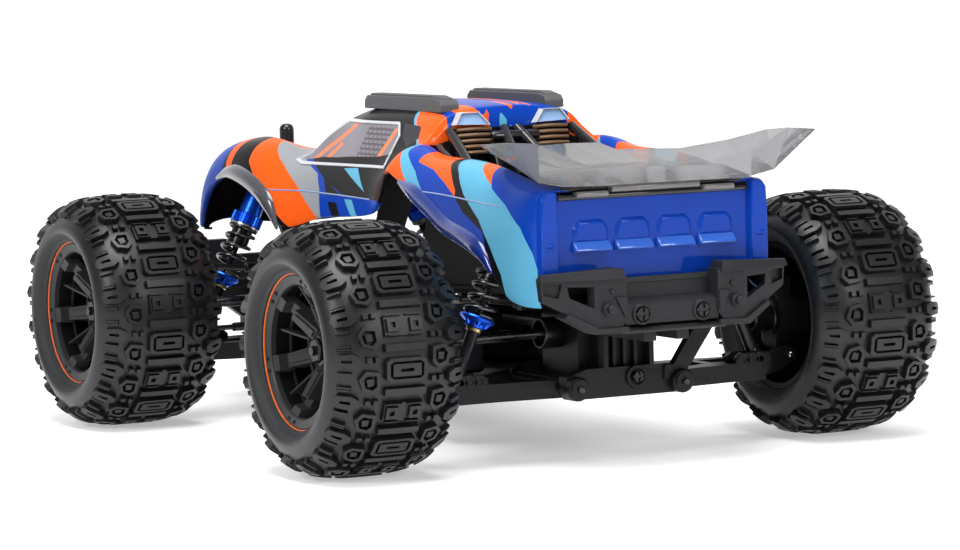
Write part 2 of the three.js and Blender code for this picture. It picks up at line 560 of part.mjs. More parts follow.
// ---- body ----
// Half sections of the painted shell from the middle to the bottom edge, front to rear.
// Each station gives x and nine [y, z] points; a third number moves that point along x.
const BODY_STATIONS = [
  [168, [
    [0, 92], [14, 92], [28, 92], [36, 92], [42, 91.5],
    [47, 91], [49, 90, -2], [50, 89, -3], [50, 88, -4],
  ]],
  [170, [
    [0, 102], [14, 102], [28, 102], [36, 102], [42, 101],
    [48, 99, -1], [50, 96, -3], [51, 92, -4], [51, 89, -5],
  ]],
  [164, [
    [0, 112], [14, 112], [28, 112], [37, 113], [44, 113],
    [51, 110], [54, 106, -1], [56, 100, -2], [57, 94, -3],
  ]],
  [154, [
    [0, 118], [14, 118], [27, 118], [38, 120], [46, 122],
    [54, 120], [58, 117], [60, 113], [60, 108],
  ]],
  [140, [
    [0, 122], [14, 122], [26, 122], [37, 126], [46, 129.5],
    [54, 128], [59, 124], [61, 119], [61, 114.5],
  ]],
  [122, [
    [0, 125], [14, 125], [26, 125], [36, 130], [45, 134],
    [54, 132.5], [59.5, 128], [61.5, 122], [61.5, 116],
  ]],
  [104, [
    [0, 127], [14, 127], [26, 127], [36, 131], [45, 134.5],
    [54, 132], [59.5, 126], [61.5, 119], [61.5, 112.6],
  ]],
  [88, [
    [0, 128], [14, 128], [28, 127.5], [38, 128.5], [45, 131],
    [53, 128], [58.5, 120], [60.5, 112], [60.5, 105],
  ]],
  [78, [
    [0, 131], [14, 131], [30, 129], [40, 126.5], [46, 126.5],
    [52, 122], [57, 113], [59, 104], [59, 93.5],
  ]],
  [66, [
    [0, 137], [14, 136.5], [31, 134], [39, 130], [46, 124.5],
    [50.5, 119], [53.5, 110], [54.5, 102], [55, 93],
  ]],
  [44, [
    [0, 146.5], [14, 146], [30, 144], [37, 137], [46.5, 123.6],
    [49.5, 117], [50.5, 110], [50.5, 104], [50, 99],
  ]],
  [34, [
    [0, 149], [14, 148.8], [29, 147.5], [36.5, 139], [47, 123.6],
    [49.5, 117], [50.5, 110], [50.5, 104], [50, 99.5],
  ]],
  [10, [
    [0, 150], [14, 150], [30, 149], [37, 141], [47.5, 123.4],
    [50, 117], [50.5, 110], [50.5, 105], [50, 100.5],
  ]],
  [-12, [
    [0, 150], [14, 150], [30, 149], [37.5, 141], [48, 123.2],
    [51, 118], [51.5, 114], [51.5, 109], [51, 104],
  ]],
  [-30, [
    [0, 150], [14, 150], [30, 149], [39, 141], [49.5, 130],
    [54, 125], [56, 121.5], [57, 118], [57, 115],
  ]],
  [-46, [
    [0, 149], [14, 149], [29.5, 148.5], [40, 138], [50, 130.5],
    [56, 129], [59, 127.5], [61, 126.2], [61.5, 125],
  ]],
  [-66, [
    [0, 139], [14, 139], [28, 137], [39, 131.5], [49, 131.5],
    [56, 129.5], [60, 126], [62, 121.5], [62, 117],
  ]],
  [-86, [
    [0, 130.5], [14, 130.5], [28, 129], [39, 129.5], [49, 131.8],
    [56, 129.8], [60.5, 124], [62, 116], [62, 109],
  ]],
  [-104, [
    [0, 127], [14, 127], [28, 126.5], [38, 128], [48, 131.5],
    [56, 129], [60.5, 121], [62, 111], [62, 101],
  ]],
  [-124, [
    [0, 126], [14, 126], [28, 125.5], [38, 126], [47, 129],
    [55.5, 126], [60.5, 117], [62, 107], [62, 97],
  ]],
  [-142, [
    [0, 125], [14, 125], [28, 124.5], [38, 124.5], [46.5, 126],
    [55, 122.5], [60.5, 112], [62, 101], [62, 90.5],
  ]],
  [-155, [
    [0, 124], [14, 124], [28, 123.5], [38, 123.5], [46, 124],
    [54.5, 119], [60, 107], [62, 92], [62, 75],
  ]],
  [-170, [
    [0, 122.8], [14, 122.8], [28, 122.5], [38, 122.5], [45.5, 122.5],
    [54, 117], [59.5, 103], [62, 87], [62, 71.5],
  ]],
  [-181, [
    [0, 121.5], [14, 121.5], [28, 121.5], [38, 121.5], [45, 121.5],
    [54, 115, 1], [58.5, 101], [61.5, 86], [62, 71.5],
  ]],
  [-183, [
    [0, 104], [14, 104], [28, 104], [38, 104], [46, 104],
    [54.5, 101], [58, 96, -1], [61.3, 85, -1.5], [62, 72, -2],
  ]],
  [-183, [
    [0, 89], [14, 89], [28, 89], [38, 89], [47, 89],
    [55, 89], [58, 88.6, -3], [61, 84, -4], [61.8, 73, -5],
  ]],
];

function wholeStation([x, half]) {
  const left = half.map(([y, z, dx = 0]) => [x + dx, y, z]);
  const right = left.slice(1).map(([px, y, z]) => [px, -y, z]);
  return [...right.reverse(), ...left];
}

const POST_HOLE = 4; // radius of the holes that the body posts come through
function bodyShell() {
  const shell = sheet(BODY_STATIONS.map(wholeStation), BODY_WALL);
  const holes = [1, -1].flatMap((along) =>
    [1, -1].map((across) => alongZ([100, 145], along * BODY_POST.x, across * BODY_POST.y, POST_HOLE)));
  return cut(shell, ...holes);
}

// The clear spoiler: a raised middle and two fins that sweep up and outwards.
const WING_FRONT = [
  [-108, 0, 138], [-108, 15, 137.6], [-110, 24, 133.5], [-130, 46, 133], [-144, 60, 137], [-157, 71, 141],
];
const WING_REAR = [
  [-183, 0, 124.3], [-183, 15, 124.3], [-183, 28, 124.3],
  [-183, 46, 124.6], [-187, 58, 127.5], [-203, 68, 141.5],
];
function wing() {
  const whole = (half) => [...half.slice(1).map(([x, y, z]) => [x, -y, z]).reverse(), ...half];
  const [front, rear] = [whole(WING_FRONT), whole(WING_REAR)];
  const blend = (share) => front.map((p, i) => p.map((value, k) => value + share * (rear[i][k] - value)));
  return sheet([0, 0.5, 1].map(blend), 1);
}

function roofSkid() {
  const side = [[34, 151.4], [31, 154.6], [24, 155.4], [-30, 155.4], [-40, 154.2], [-43, 151.4]];
  return plate("y", [22.5, 31], side);
}

add("body_shell", bodyShell(), MATERIAL.bluePaint);
add("wing", wing(), MATERIAL.smokedClear);
for (const { side, across } of CORNERS.filter((corner) => corner.end === "front"))
  add(`roof_skid_${side}`, roofSkid(), MATERIAL.blackPlastic, [1, across]);

export default truck;
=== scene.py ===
import json
import math

import bmesh
import bpy
from mathutils import Matrix, Vector
from mathutils.bvhtree import BVHTree
from mathutils.geometry import tessellate_polygon

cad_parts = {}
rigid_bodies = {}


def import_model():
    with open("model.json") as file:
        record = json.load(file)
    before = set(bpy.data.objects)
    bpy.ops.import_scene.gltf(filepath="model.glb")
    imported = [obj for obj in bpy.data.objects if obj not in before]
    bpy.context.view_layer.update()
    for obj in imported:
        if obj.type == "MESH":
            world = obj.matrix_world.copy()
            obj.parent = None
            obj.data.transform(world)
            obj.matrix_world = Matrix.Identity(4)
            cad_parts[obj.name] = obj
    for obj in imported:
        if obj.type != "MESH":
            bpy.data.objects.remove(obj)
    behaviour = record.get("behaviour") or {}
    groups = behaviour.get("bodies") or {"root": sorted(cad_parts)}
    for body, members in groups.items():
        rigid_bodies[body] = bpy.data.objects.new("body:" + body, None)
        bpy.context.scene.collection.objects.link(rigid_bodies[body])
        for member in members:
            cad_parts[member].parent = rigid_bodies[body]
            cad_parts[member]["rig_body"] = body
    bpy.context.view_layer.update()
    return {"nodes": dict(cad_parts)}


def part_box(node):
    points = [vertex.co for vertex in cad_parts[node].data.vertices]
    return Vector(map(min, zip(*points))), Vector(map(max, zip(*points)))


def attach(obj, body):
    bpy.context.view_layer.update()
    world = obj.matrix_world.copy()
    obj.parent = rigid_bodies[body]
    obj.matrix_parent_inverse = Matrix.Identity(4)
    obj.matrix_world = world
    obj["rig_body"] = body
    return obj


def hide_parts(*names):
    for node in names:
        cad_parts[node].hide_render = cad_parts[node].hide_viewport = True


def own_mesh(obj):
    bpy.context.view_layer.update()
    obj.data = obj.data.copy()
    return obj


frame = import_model()

MM = 0.001
CORNERS = {  # corner name: (towards the front, towards the left)
    "front_left": (1, 1),
    "front_right": (1, -1),
    "rear_left": (-1, 1),
    "rear_right": (-1, -1),
}


def centre_mm(node):
    low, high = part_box(node)
    return (low + high) / 2 / MM


AXLE = centre_mm("tyre_front_left")  # middle of the front left wheel
TYRE_RADIUS = AXLE.z
AXLE_X = 124  # distance of each axle line from the middle of the truck
AXLE_Z = 55
SPIN_AXIS = (0, 1, 0)


# ---------------------------------------------------------------- materials
def material(name, color, roughness, metallic=0.0, **inputs):
    """A Principled material, its node tree and its shader, for the functions below to build on."""
    made = bpy.data.materials.new(name)
    made.use_nodes = True
    tree = made.node_tree
    shader = tree.nodes["Principled BSDF"]
    shader.inputs["Base Color"].default_value = (*color, 1)
    shader.inputs["Roughness"].default_value = roughness
    shader.inputs["Metallic"].default_value = metallic
    for key, value in inputs.items():
        shader.inputs[key.replace("_", " ")].default_value = value
    return made, tree, shader


def fill(tree, socket, value):
    """Link a socket to another node's output, or give it a plain value."""
    if hasattr(value, "is_output"):
        tree.links.new(value, socket)
    else:
        socket.default_value = value


def node(tree, kind, inputs=(), **settings):
    made = tree.nodes.new("ShaderNode" + kind)
    for key, value in settings.items():
        setattr(made, key, value)
    for key, value in dict(inputs).items():
        fill(tree, made.inputs[key], value)
    return made


def object_coordinates(tree):
    return node(tree, "TexCoord").outputs["Object"]


def noise(tree, scale, detail=3.0, stretch=None):
    vector = object_coordinates(tree)
    if stretch:
        vector = node(tree, "Mapping", {"Vector": vector, "Scale": stretch}).outputs["Vector"]
    return node(tree, "TexNoise", {"Vector": vector, "Scale": scale, "Detail": detail}).outputs["Fac"]


def ranged(tree, value, low, high):
    return node(tree, "MapRange", {"Value": value, "To Min": low, "To Max": high}).outputs["Result"]


def mixed(tree, share, first, second):
    first, second = ((*color, 1) if isinstance(color, tuple) else color for color in (first, second))
    return node(tree, "Mix", {0: share, 6: first, 7: second}, data_type="RGBA").outputs[2]


def bumped(tree, shader, height, strength, distance):
    bump = node(tree, "Bump", {"Height": height, "Strength": strength, "Distance": distance * MM})
    tree.links.new(bump.outputs["Normal"], shader.inputs["Normal"])


def grained(name, color, roughness, scale=900, strength=0.25, spread=0.12, metallic=0.0, lighter=1.5,
            **inputs):
    """Moulded plastic, rubber or metal: a fine bump, uneven gloss and a slow drift in its colour."""
    made, tree, shader = material(name, color, roughness, metallic, **{"Specular_IOR_Level": 0.3, **inputs})
    fine = noise(tree, scale, 4)
    slow = noise(tree, 45, 2)
    tree.links.new(ranged(tree, fine, roughness - spread, roughness + spread), shader.inputs["Roughness"])
    shade = mixed(tree, slow, color, tuple(min(1, c * lighter) for c in color))
    tree.links.new(shade, shader.inputs["Base Color"])
    bumped(tree, shader, fine, strength, 0.15)
    return made


NEAR_BLACK = (0.0045, 0.0048, 0.0055)
RUBBER = grained("tyre_rubber", NEAR_BLACK, 0.38, 1400, 0.3, 0.1, lighter=1.7, Specular_IOR_Level=0.42)
SIDEWALL = grained("tyre_sidewall", (0.020, 0.021, 0.023), 0.6, 700, 0.12, 0.06, lighter=1.3)
WHEEL_BLACK = grained("wheel_plastic", (0.019, 0.0195, 0.021), 0.38, 1100, 0.12, 0.06)
BARREL_BLACK = grained("wheel_barrel", (0.003, 0.003, 0.0035), 0.5, 900, 0.12, Specular_IOR_Level=0.12)
NYLON = grained("moulded_nylon", NEAR_BLACK, 0.42, 1000, 0.3, 0.1, Specular_IOR_Level=0.22)
BUMPER_PLASTIC = grained("bumper_plastic", (0.011, 0.0115, 0.013), 0.5, 1500, 0.9, 0.1, lighter=1.25)
BEAD_ORANGE = grained("bead_ring_orange", (0.85, 0.17, 0.035), 0.35, 600, 0.05, 0.05, lighter=1.1)
SCREW_BLACK = grained("black_screw", (0.03, 0.03, 0.032), 0.3, 900, 0.1, 0.08, metallic=0.9)
STEEL = grained("turned_steel", (0.52, 0.52, 0.53), 0.3, 500, 0.06, 0.08, metallic=1.0, lighter=1.15)
SHAFT_STEEL = grained("blackened_steel", (0.05, 0.05, 0.052), 0.28, 500, 0.06, 0.08, metallic=0.95,
                      lighter=1.3)
BRASS = grained("brass_collar", (0.55, 0.40, 0.2), 0.32, 500, 0.06, 0.06, metallic=1.0, lighter=1.1)
BLUE_ANODISED = grained("blue_anodised", (0.012, 0.10, 0.72), 0.3, 700, 0.06, 0.06, metallic=0.85,
                        lighter=1.2)
SHOCK_BLACK = grained("shock_cylinder", (0.02, 0.02, 0.022), 0.24, 700, 0.04, 0.06, metallic=0.7)
SPRING_STEEL = grained("spring_wire", (0.09, 0.09, 0.095), 0.25, 600, 0.05, 0.06, metallic=0.9, lighter=1.3)
MOTOR_CAN = grained("motor_can_finish", (0.25, 0.25, 0.26), 0.35, 400, 0.08, 0.08, metallic=0.9, lighter=1.3)
SHRINK_WRAP = grained("battery_wrap", (0.02, 0.022, 0.03), 0.35, 300, 0.15, 0.1)
SERVO_CASE = grained("servo_case", (0.015, 0.015, 0.017), 0.4, 900, 0.15, 0.1)


# ---------------------------------------------------------------- mesh helpers
def finish_mesh(mesh, materials, smooth):
    """Turn millimetres into metres, give the mesh its materials and shade it smooth between its edges."""
    mesh.transform(Matrix.Scale(MM, 4))
    for entry in materials:
        mesh.materials.append(entry)
    mesh.polygons.foreach_set("use_smooth", [True] * len(mesh.polygons))
    mesh.set_sharp_from_angle(angle=math.radians(smooth))


def placed(name, data):
    made = bpy.data.objects.new(name, data)
    bpy.context.scene.collection.objects.link(made)
    return made


def thickened(made, thickness):
    """Give a thin sheet its thickness, inwards from its surface."""
    modifier = made.modifiers.new("thickness", "SOLIDIFY")
    modifier.thickness = thickness * MM
    modifier.offset = -1
    return modifier


def shown(name, shape, *materials, body="chassis", smooth=40, bevel=0.0, subdivide=0, slot=""):
    """An object in metres that rides on a CAD body. Its shape is a mesh or build(bm), in millimetres."""
    mesh = mesh_of(shape) if callable(shape) else shape
    finish_mesh(mesh, materials, smooth)
    made = placed(name, mesh)
    if subdivide:
        modifier = made.modifiers.new("subdivision", "SUBSURF")
        modifier.levels = modifier.render_levels = subdivide
    if bevel:
        modifier = made.modifiers.new("edges", "BEVEL")
        modifier.width = bevel * MM
        modifier.segments = 2
        modifier.limit_method = "ANGLE"
        modifier.angle_limit = math.radians(35)
    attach(made, body)
    return made


def mesh_of(build):
    """The mesh that build(bm) makes, in millimetres, with its faces pointing out."""
    bm = bmesh.new()
    build(bm)
    bmesh.ops.remove_doubles(bm, verts=bm.verts, dist=1e-4)
    bmesh.ops.recalc_face_normals(bm, faces=bm.faces)
    mesh = bpy.data.meshes.new("mesh")
    bm.to_mesh(mesh)
    bm.free()
    return mesh


def loop(bm, points):
    return [bm.verts.new(p) for p in points]


def bridge(bm, first, second, closed=True, slot=0):
    count = len(first)
    for i in range(count if closed else count - 1):
        k = (i + 1) % count
        face = bm.faces.new((first[i], first[k], second[k], second[i]))
        face.material_index = slot


def inset(outline, distance):
    """A closed outline moved inwards; its points go anticlockwise."""
    made = []
    for i, here in enumerate(outline):
        a, b, c = Vector(outline[i - 1]), Vector(here), Vector(outline[(i + 1) % len(outline)])
        first = Vector((a.y - b.y, b.x - a.x)).normalized()
        second = Vector((b.y - c.y, c.x - b.x)).normalized()
        mitre = (first + second) / max(0.35, 1 + first.dot(second))
        made.append(tuple(b + mitre * distance))
    return made


def prism(bm, outline, low, high, place, draft=0.0, slot=0, hole=None):
    """An outline raised from low to high. place(a, b, h) says where a point goes; a hole of as many points
    as the outline makes it a ring."""
    top = inset(outline, draft) if draft else outline
    rings = [loop(bm, [place(a, b, h) for a, b in ring]) for ring, h in ((outline, low), (top, high))]
    bridge(bm, *rings, slot=slot)
    if hole:
        inner = [loop(bm, [place(a, b, h) for a, b in hole]) for h in (low, high)]
        bridge(bm, inner[1], inner[0], slot=slot)
        bridge(bm, rings[1], inner[1], slot=slot)
        bridge(bm, inner[0], rings[0], slot=slot)
        return
    bm.faces.new(rings[1]).material_index = slot
    bm.faces.new(list(reversed(rings[0]))).material_index = slot


def across_x(a, b, h):
    return (h, a, b)


def across_y(a, b, h):
    return (a, h, b)


def across_z(a, b, h):
    return (a, b, h)


def circle(radius, count):
    angles = [2 * math.pi * i / count for i in range(count)]
    return [(radius * math.cos(angle), radius * math.sin(angle)) for angle in angles]


def towards(direction):
    """The rotation that turns Z to a direction."""
    return Vector((0, 0, 1)).rotation_difference(Vector(direction).normalized())


def skinned(bm, rings, slot=0, ring=False):
    """A skin from each ring of vertices to the next. It ends in two flat faces, or joins up as a ring."""
    for first, second in zip(rings, rings[1:]):
        bridge(bm, first, second, slot=slot)
    if ring:
        bridge(bm, rings[-1], rings[0], slot=slot)
        return
    bm.faces.new(list(reversed(rings[0]))).material_index = slot
    bm.faces.new(rings[-1]).material_index = slot


def turned(bm, profile, origin, direction, sides=28, kind="solid", slot=0):
    """A profile of (radius, distance along the axis) points spun round the axis from origin: a solid, or
    a ring whose profile closes on itself."""
    turn = towards(direction)
    rings = []
    for radius, distance in profile:
        ring = [turn @ Vector((x, y, distance)) + Vector(origin) for x, y in circle(max(radius, 1e-3), sides)]
        rings.append(loop(bm, ring))
    skinned(bm, rings, slot, kind == "ring")


def swept(bm, points, radius, sides=10, slot=0):
    """A round tube along points, without twist."""
    points = [Vector(p) for p in points]
    normal = None
    rings = []
    for i, point in enumerate(points):
        along = (points[min(i + 1, len(points) - 1)] - points[max(i - 1, 0)]).normalized()
        if normal is None:
            normal = along.orthogonal().normalized()
        normal = (normal - along * normal.dot(along)).normalized()
        other = along.cross(normal)
        ring = [point + (normal * x + other * y) for x, y in circle(radius, sides)]
        rings.append(loop(bm, ring))
    skinned(bm, rings, slot)


def smooth_path(points, steps=6):
    """A Catmull-Rom curve through points."""
    points = [Vector(p) for p in points]
    ends = [points[0] * 2 - points[1], *points, points[-1] * 2 - points[-2]]
    made = []
    for a, b, c, d in zip(ends, ends[1:], ends[2:], ends[3:]):
        for i in range(steps):
            t = i / steps
            made.append(0.5 * (2 * b + (c - a) * t + (2 * a - 5 * b + 4 * c - d) * t**2
                               + (3 * b - a - 3 * c + d) * t**3))
    return made + [points[-1]]


def screw(bm, origin, direction, radius=2.6, slot=0):
    """A domed screw head without a slot."""
    profile = [(radius, -1.2), (radius, 0.1), (radius * 0.86, 0.7), (radius * 0.5, 1.05), (0.01, 1.1)]
    turned(bm, profile, origin, direction, 18, slot=slot)


# ---------------------------------------------------------------- tyres
TREAD_PERIODS = 9
PERIOD = 2 * math.pi * TYRE_RADIUS / TREAD_PERIODS
LUG = 3.2  # height of the tread blocks over the carcass
TREAD_ROOT = -0.6  # how deep the blocks reach into the carcass
CARCASS = [(0, 51.9), (10, 51.7), (18, 50.7), (24, 48.6), (28, 45.6), (30.4, 42), (30.8, 39),
           (29.2, 36.2), (25, 34)]  # (distance from the tyre's middle, radius), down to the bead
BEAD_RADIUS = 33.4
CARCASS_WALL = 2.5
TYRE_SIDES = 108
TREAD_SHARE = 0.42  # how far the tread's rubber reaches from the middle of the carcass, of its whole width
BEND = (3.2, 2.6)  # longest flat stretch of the tread, along it and across it


def carcass_table():
    path = smooth_path([(y, r, 0) for y, r in CARCASS], 8)
    table = [(0.0, path[0])]
    for a, b in zip(path, path[1:]):
        table.append((table[-1][0] + (b - a).length, b))
    return table


CARCASS_TABLE = carcass_table()


def on_tyre(a, t, h):
    """The point at a along the tread, t across it and h above the carcass; the wheel's axis is Y."""
    reach = abs(t)
    for (s0, p0), (s1, p1) in zip(CARCASS_TABLE, CARCASS_TABLE[1:]):
        if reach <= s1:
            break
    share = (reach - s0) / (s1 - s0)
    p = p0.lerp(p1, share)
    along = (p1 - p0).normalized()
    y = p.x - along.y * h
    r = p.y + along.x * h
    angle = 2 * math.pi * a / (PERIOD * TREAD_PERIODS)
    return Vector((r * math.cos(angle), math.copysign(y, t) if reach > 1e-6 else 0, r * math.sin(angle)))


def box_outline(a0, a1, t0, t1):
    return [(a0, t0), (a1, t0), (a1, t1), (a0, t1)]


def tread_blocks(bm):
    """One period of the tread, laid flat: x along the tread, y across it, z up."""
    half = PERIOD / 2

    def block(outline, height=LUG, draft=0.35, hole=None, shift=0.0):
        def slide(points):
            return [(a + shift, t) for a, t in points]
        prism(bm, slide(outline), TREAD_ROOT, height, across_z, draft, hole=slide(hole) if hole else None)

    # the middle row: a framed block with a slot, then a pair of squares on a plate
    cut_corners = [(-5.4, -7.6), (-3.8, -9.6), (3.8, -9.6), (5.4, -7.6), (5.4, 7.6), (3.8, 9.6),
                   (-3.8, 9.6), (-5.4, 7.6)]
    block(cut_corners, hole=[(a * 0.7, t * 0.8) for a, t in cut_corners])
    block(box_outline(-3.0, 3.0, -6.8, 6.8), hole=box_outline(-0.7, 0.7, -3.0, 3.0))
    block(box_outline(-4.8, 4.8, -9.0, 9.0), 1.7, shift=half)
    for side in (1, -1):
        square = box_outline(-3.1, 3.1, side * 5.3 - 2.9, side * 5.3 + 2.9)
        block(square, hole=box_outline(-1.2, 1.2, side * 5.3 - 1.1, side * 5.3 + 1.1), shift=half)
        block(box_outline(-4.8, -3.7, side * 4.8 - 4.0, side * 4.8 + 4.0), shift=half)
        block(box_outline(3.7, 4.8, side * 4.8 - 3.2, side * 4.8 + 3.2), shift=half)
    for quarter in (-1, 1):
        block(box_outline(-1.9, 1.9, -9.6, 9.6), 2.6, shift=half / 2 * quarter)
    # the shoulders: house-shaped frames and dots, and slotted lugs between thin ribs over the edge
    for side in (1, -1):
        def sided(points):
            return [(a, side * t) for a, t in (points if side > 0 else reversed(points))]
        for k in (0, 1):
            shift = half * (k + 0.25 * side)
            house = [(-4.6, 11.9), (2.6, 11.4), (5.4, 14.2), (3.8, 19.3), (-1.5, 21.0), (-5.4, 18.2)]
            smaller = [(a * 0.62, 16 + (t - 16) * 0.62) for a, t in house]
            block(sided(house), 3.0, hole=sided(smaller), shift=shift)
            block(sided([(-2.0, 14.4), (1.6, 14.2), (2.2, 17.4), (-1.8, 18.0)]), 2.6, shift=shift)
            for small in (11.6, 15.0):
                block(sided(box_outline(-1.5, 1.5, small, small + 2.6)), 2.4, shift=shift + half / 2)
            lug = [(-3.6, 23.0), (-1.6, 19.6), (1.8, 19.6), (3.8, 22.6), (3.4, 28.6), (0.0, 30.4),
                   (-3.2, 28.8)]
            slit = [(-0.8, 23.4), (-0.4, 23.2), (0.4, 23.2), (0.8, 23.4), (0.6, 27.0), (0.0, 27.2),
                    (-0.6, 27.0)]
            block(sided(lug), 3.0, hole=sided(slit), shift=shift + half / 2)
            for step in (-6.6, -5.4, 5.9):
                block(sided(box_outline(-0.9, 0.9, 23.2, 29.6)), 2.1, 0.5, shift=shift + half / 2 + step)


def tyre(bm):
    """The tread cut finely enough to bend, wrapped round the tyre once a period, and the carcass under it."""
    tread_blocks(bm)
    for axis, step, count in (((1, 0, 0), BEND[0], 16), ((0, 1, 0), BEND[1], 12)):
        for k in range(-count, count + 1):
            point = Vector(axis) * (k + 0.5) * step
            bmesh.ops.bisect_plane(bm, geom=bm.verts[:] + bm.edges[:] + bm.faces[:], plane_co=point,
                                   plane_no=axis)
    period = [list(v.co) for v in bm.verts]
    faces = [[v.index for v in f.verts] for f in bm.faces]
    bm.clear()
    for k in range(TREAD_PERIODS):
        verts = loop(bm, [on_tyre(a + k * PERIOD, t, h) for a, t, h in period])
        for face in faces:
            bm.faces.new([verts[i] for i in face])
    reach = CARCASS_TABLE[-1][0]
    steps = 40
    profile = [on_tyre(0, reach * (2 * i / steps - 1), 0) for i in range(steps + 1)]
    outside = [(p.x, p.y) for p in profile]
    lining = [(max(r - CARCASS_WALL, BEAD_RADIUS), y * 0.9) for r, y in reversed(outside)]
    rings = [loop(bm, [(x, y, z) for x, z in circle(r, TYRE_SIDES)]) for r, y in outside + lining]
    for i, (first, second) in enumerate(zip(rings, rings[1:] + rings[:1])):
        under_tread = abs(i - steps / 2) < steps * TREAD_SHARE
        bridge(bm, first, second, slot=0 if under_tread else 1)


# ---------------------------------------------------------------- wheels
RIM_FACE = 24.6  # distance of the rim's outer face from the wheel's middle
SPOKES = 6
SPOKE_STEP = 2 * math.pi / SPOKES
HUB_FACE = 13.0  # where a spoke's face starts at the hub
RIM_SCREW_RADIUS = 30.8
RIM_SCREW_ANGLE = 0.085  # from a spoke's middle to the screws beside it
WHEEL_ROLLS = {"front_left": 0.12, "front_right": 0.5, "rear_left": 0.26, "rear_right": 0.9}


def along_spoke(angle):
    """Places for a spoke: a runs outwards, b across it, h up from its face, which climbs towards the rim."""
    turn = Matrix.Rotation(angle, 3, "Y")

    def place(a, b, h):
        share = max(0.0, min(1.0, (a - 8) / 20))
        return turn @ Vector((a, HUB_FACE + (RIM_FACE - HUB_FACE - 1.4) * share + h, b))
    return place


def spoke(bm, angle):
    """A notched spoke with its raised middle and foot on the rim, and the two screws beside that foot."""
    place = along_spoke(angle)
    prism(bm, [(7, -4.4), (21.6, -3.7), (21.6, 3.7), (7, 4.4)], -7.0, 0, place, 0.9)
    prism(bm, [(9, -2.0), (19.6, -1.8), (20.4, 0), (19.6, 1.8), (9, 2.0)], -0.4, 0.9, place, 0.4)
    prism(bm, [(20.8, -3.2), (25.4, -3.2), (25.4, 3.2), (20.8, 3.2)], -7.0, -3.4, place, 0.3)
    prism(bm, [(24.6, -3.9), (28.8, -4.2), (28.8, 4.2), (24.6, 3.9)], -6.0, 0.4, place, 0.6)
    for side in (1, -1):
        around = angle + side * RIM_SCREW_ANGLE
        spot = (RIM_SCREW_RADIUS * math.cos(around), RIM_FACE - 0.1, -RIM_SCREW_RADIUS * math.sin(around))
        head = [(0.95, 0), (0.95, 0.55), (0.55, 0.6), (0.5, 0.1), (0.01, 0.1)]
        turned(bm, head, spot, SPIN_AXIS, 12, slot=2)


def wheel(bm):
    """A deep wheel: its lip, its dark barrel, the hub, six spokes with ribs between them, and the nut."""
    def spun(profile, slot=0, sides=96, kind="ring"):
        turned(bm, profile, (0, 0, 0), SPIN_AXIS, sides, kind, slot)
    lip = [(33.6, -1.3), (33.2, 0), (32.6, 0.3), (29.2, -0.1), (28.5, -0.8), (28.4, -3), (33.2, -3)]
    spun([(radius, RIM_FACE + depth) for radius, depth in lip])
    spun([(28.6, RIM_FACE - 2.6), (27.6, 12.0), (30.0, 7.0), (30.6, -26.0), (33.2, -26.0), (33.4, -20.0),
          (32.0, 12.0), (33.0, RIM_FACE - 2.6)], 1)
    spun([(27.9, 15.4), (27.2, 15.2), (27.2, 14.4), (27.9, 14.2)])
    spun([(9.6, -10), (10.4, 3.0), (27.8, 5.0), (27.8, 7.0), (12, 6.6), (9.5, 8.5), (9.2, 13.2),
          (8.4, 14.0), (4.6, 14.0), (4.2, 12.2), (4.2, 1.0)], 1, 48, "solid")
    spun([(14.4, 8), (14.4, 13.2), (13.2, 13.2), (13.2, 8)], 0, 48)
    for i in range(SPOKES):
        spoke(bm, i * SPOKE_STEP)
        between = along_spoke((i + 0.5) * SPOKE_STEP)
        prism(bm, [(10, -0.8), (28.4, -0.7), (28.4, 0.7), (10, 0.8)], -7.4, -3.6, between, 0.25)
    nut = [(5.6, 9), (5.6, 16.2), (5.0, 17.0), (2.4, 17.0), (2.2, 18.5), (0.01, 18.6)]
    spun(nut, 3, 6, "solid")
    spun([(6.6, 13.4), (6.6, 14.9), (5.4, 15.1), (5.4, 13.4)], 3, 32)


def bead_ring(bm):
    section = [(33.15, -0.4), (33.2, 0.55), (33.9, 0.75), (34.35, 0.2), (34.2, -0.6)]
    turned(bm, section, (0, RIM_FACE, 0), SPIN_AXIS, 120, "ring")


def build_wheels():
    """Four copies of the tyre, the wheel and its orange ring, each rolled a little and facing out."""
    parts = (("lugged_tyre", mesh_of(tyre), (RUBBER, SIDEWALL), "tyre"),
             ("spoked_wheel", mesh_of(wheel), (WHEEL_BLACK, BARREL_BLACK, SCREW_BLACK, SHOCK_BLACK), "wheel"),
             ("bead_ring", mesh_of(bead_ring), (BEAD_ORANGE,), None))
    for part, mesh, materials, replaced in parts:
        finish_mesh(mesh, materials, 32)
        for corner, (along, across) in CORNERS.items():
            rolled = mesh.copy()
            rolled.transform(Matrix.Rotation(WHEEL_ROLLS[corner], 4, "Y"))
            made = placed(f"{part}_{corner}", rolled)
            middle = Vector((along * AXLE.x, across * AXLE.y, AXLE.z)) * MM
            flip = Matrix.Identity(4) if across > 0 else Matrix.Rotation(math.pi, 4, "Z")
            made.matrix_world = Matrix.Translation(middle) @ flip
            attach(made, f"wheel_{corner}")
            if replaced:
                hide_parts(f"{replaced}_{corner}")


build_wheels()


# ---------------------------------------------------------------- body paint
ORANGE = (0.80, 0.10, 0.010)
LIGHT_BLUE = (0.10, 0.36, 0.54)
BLUE = (0.003, 0.045, 0.36)
BLACK = (0.006, 0.006, 0.007)
GREY = (0.27, 0.28, 0.30)
WINDOW_GREY = (0.14, 0.13, 0.15)

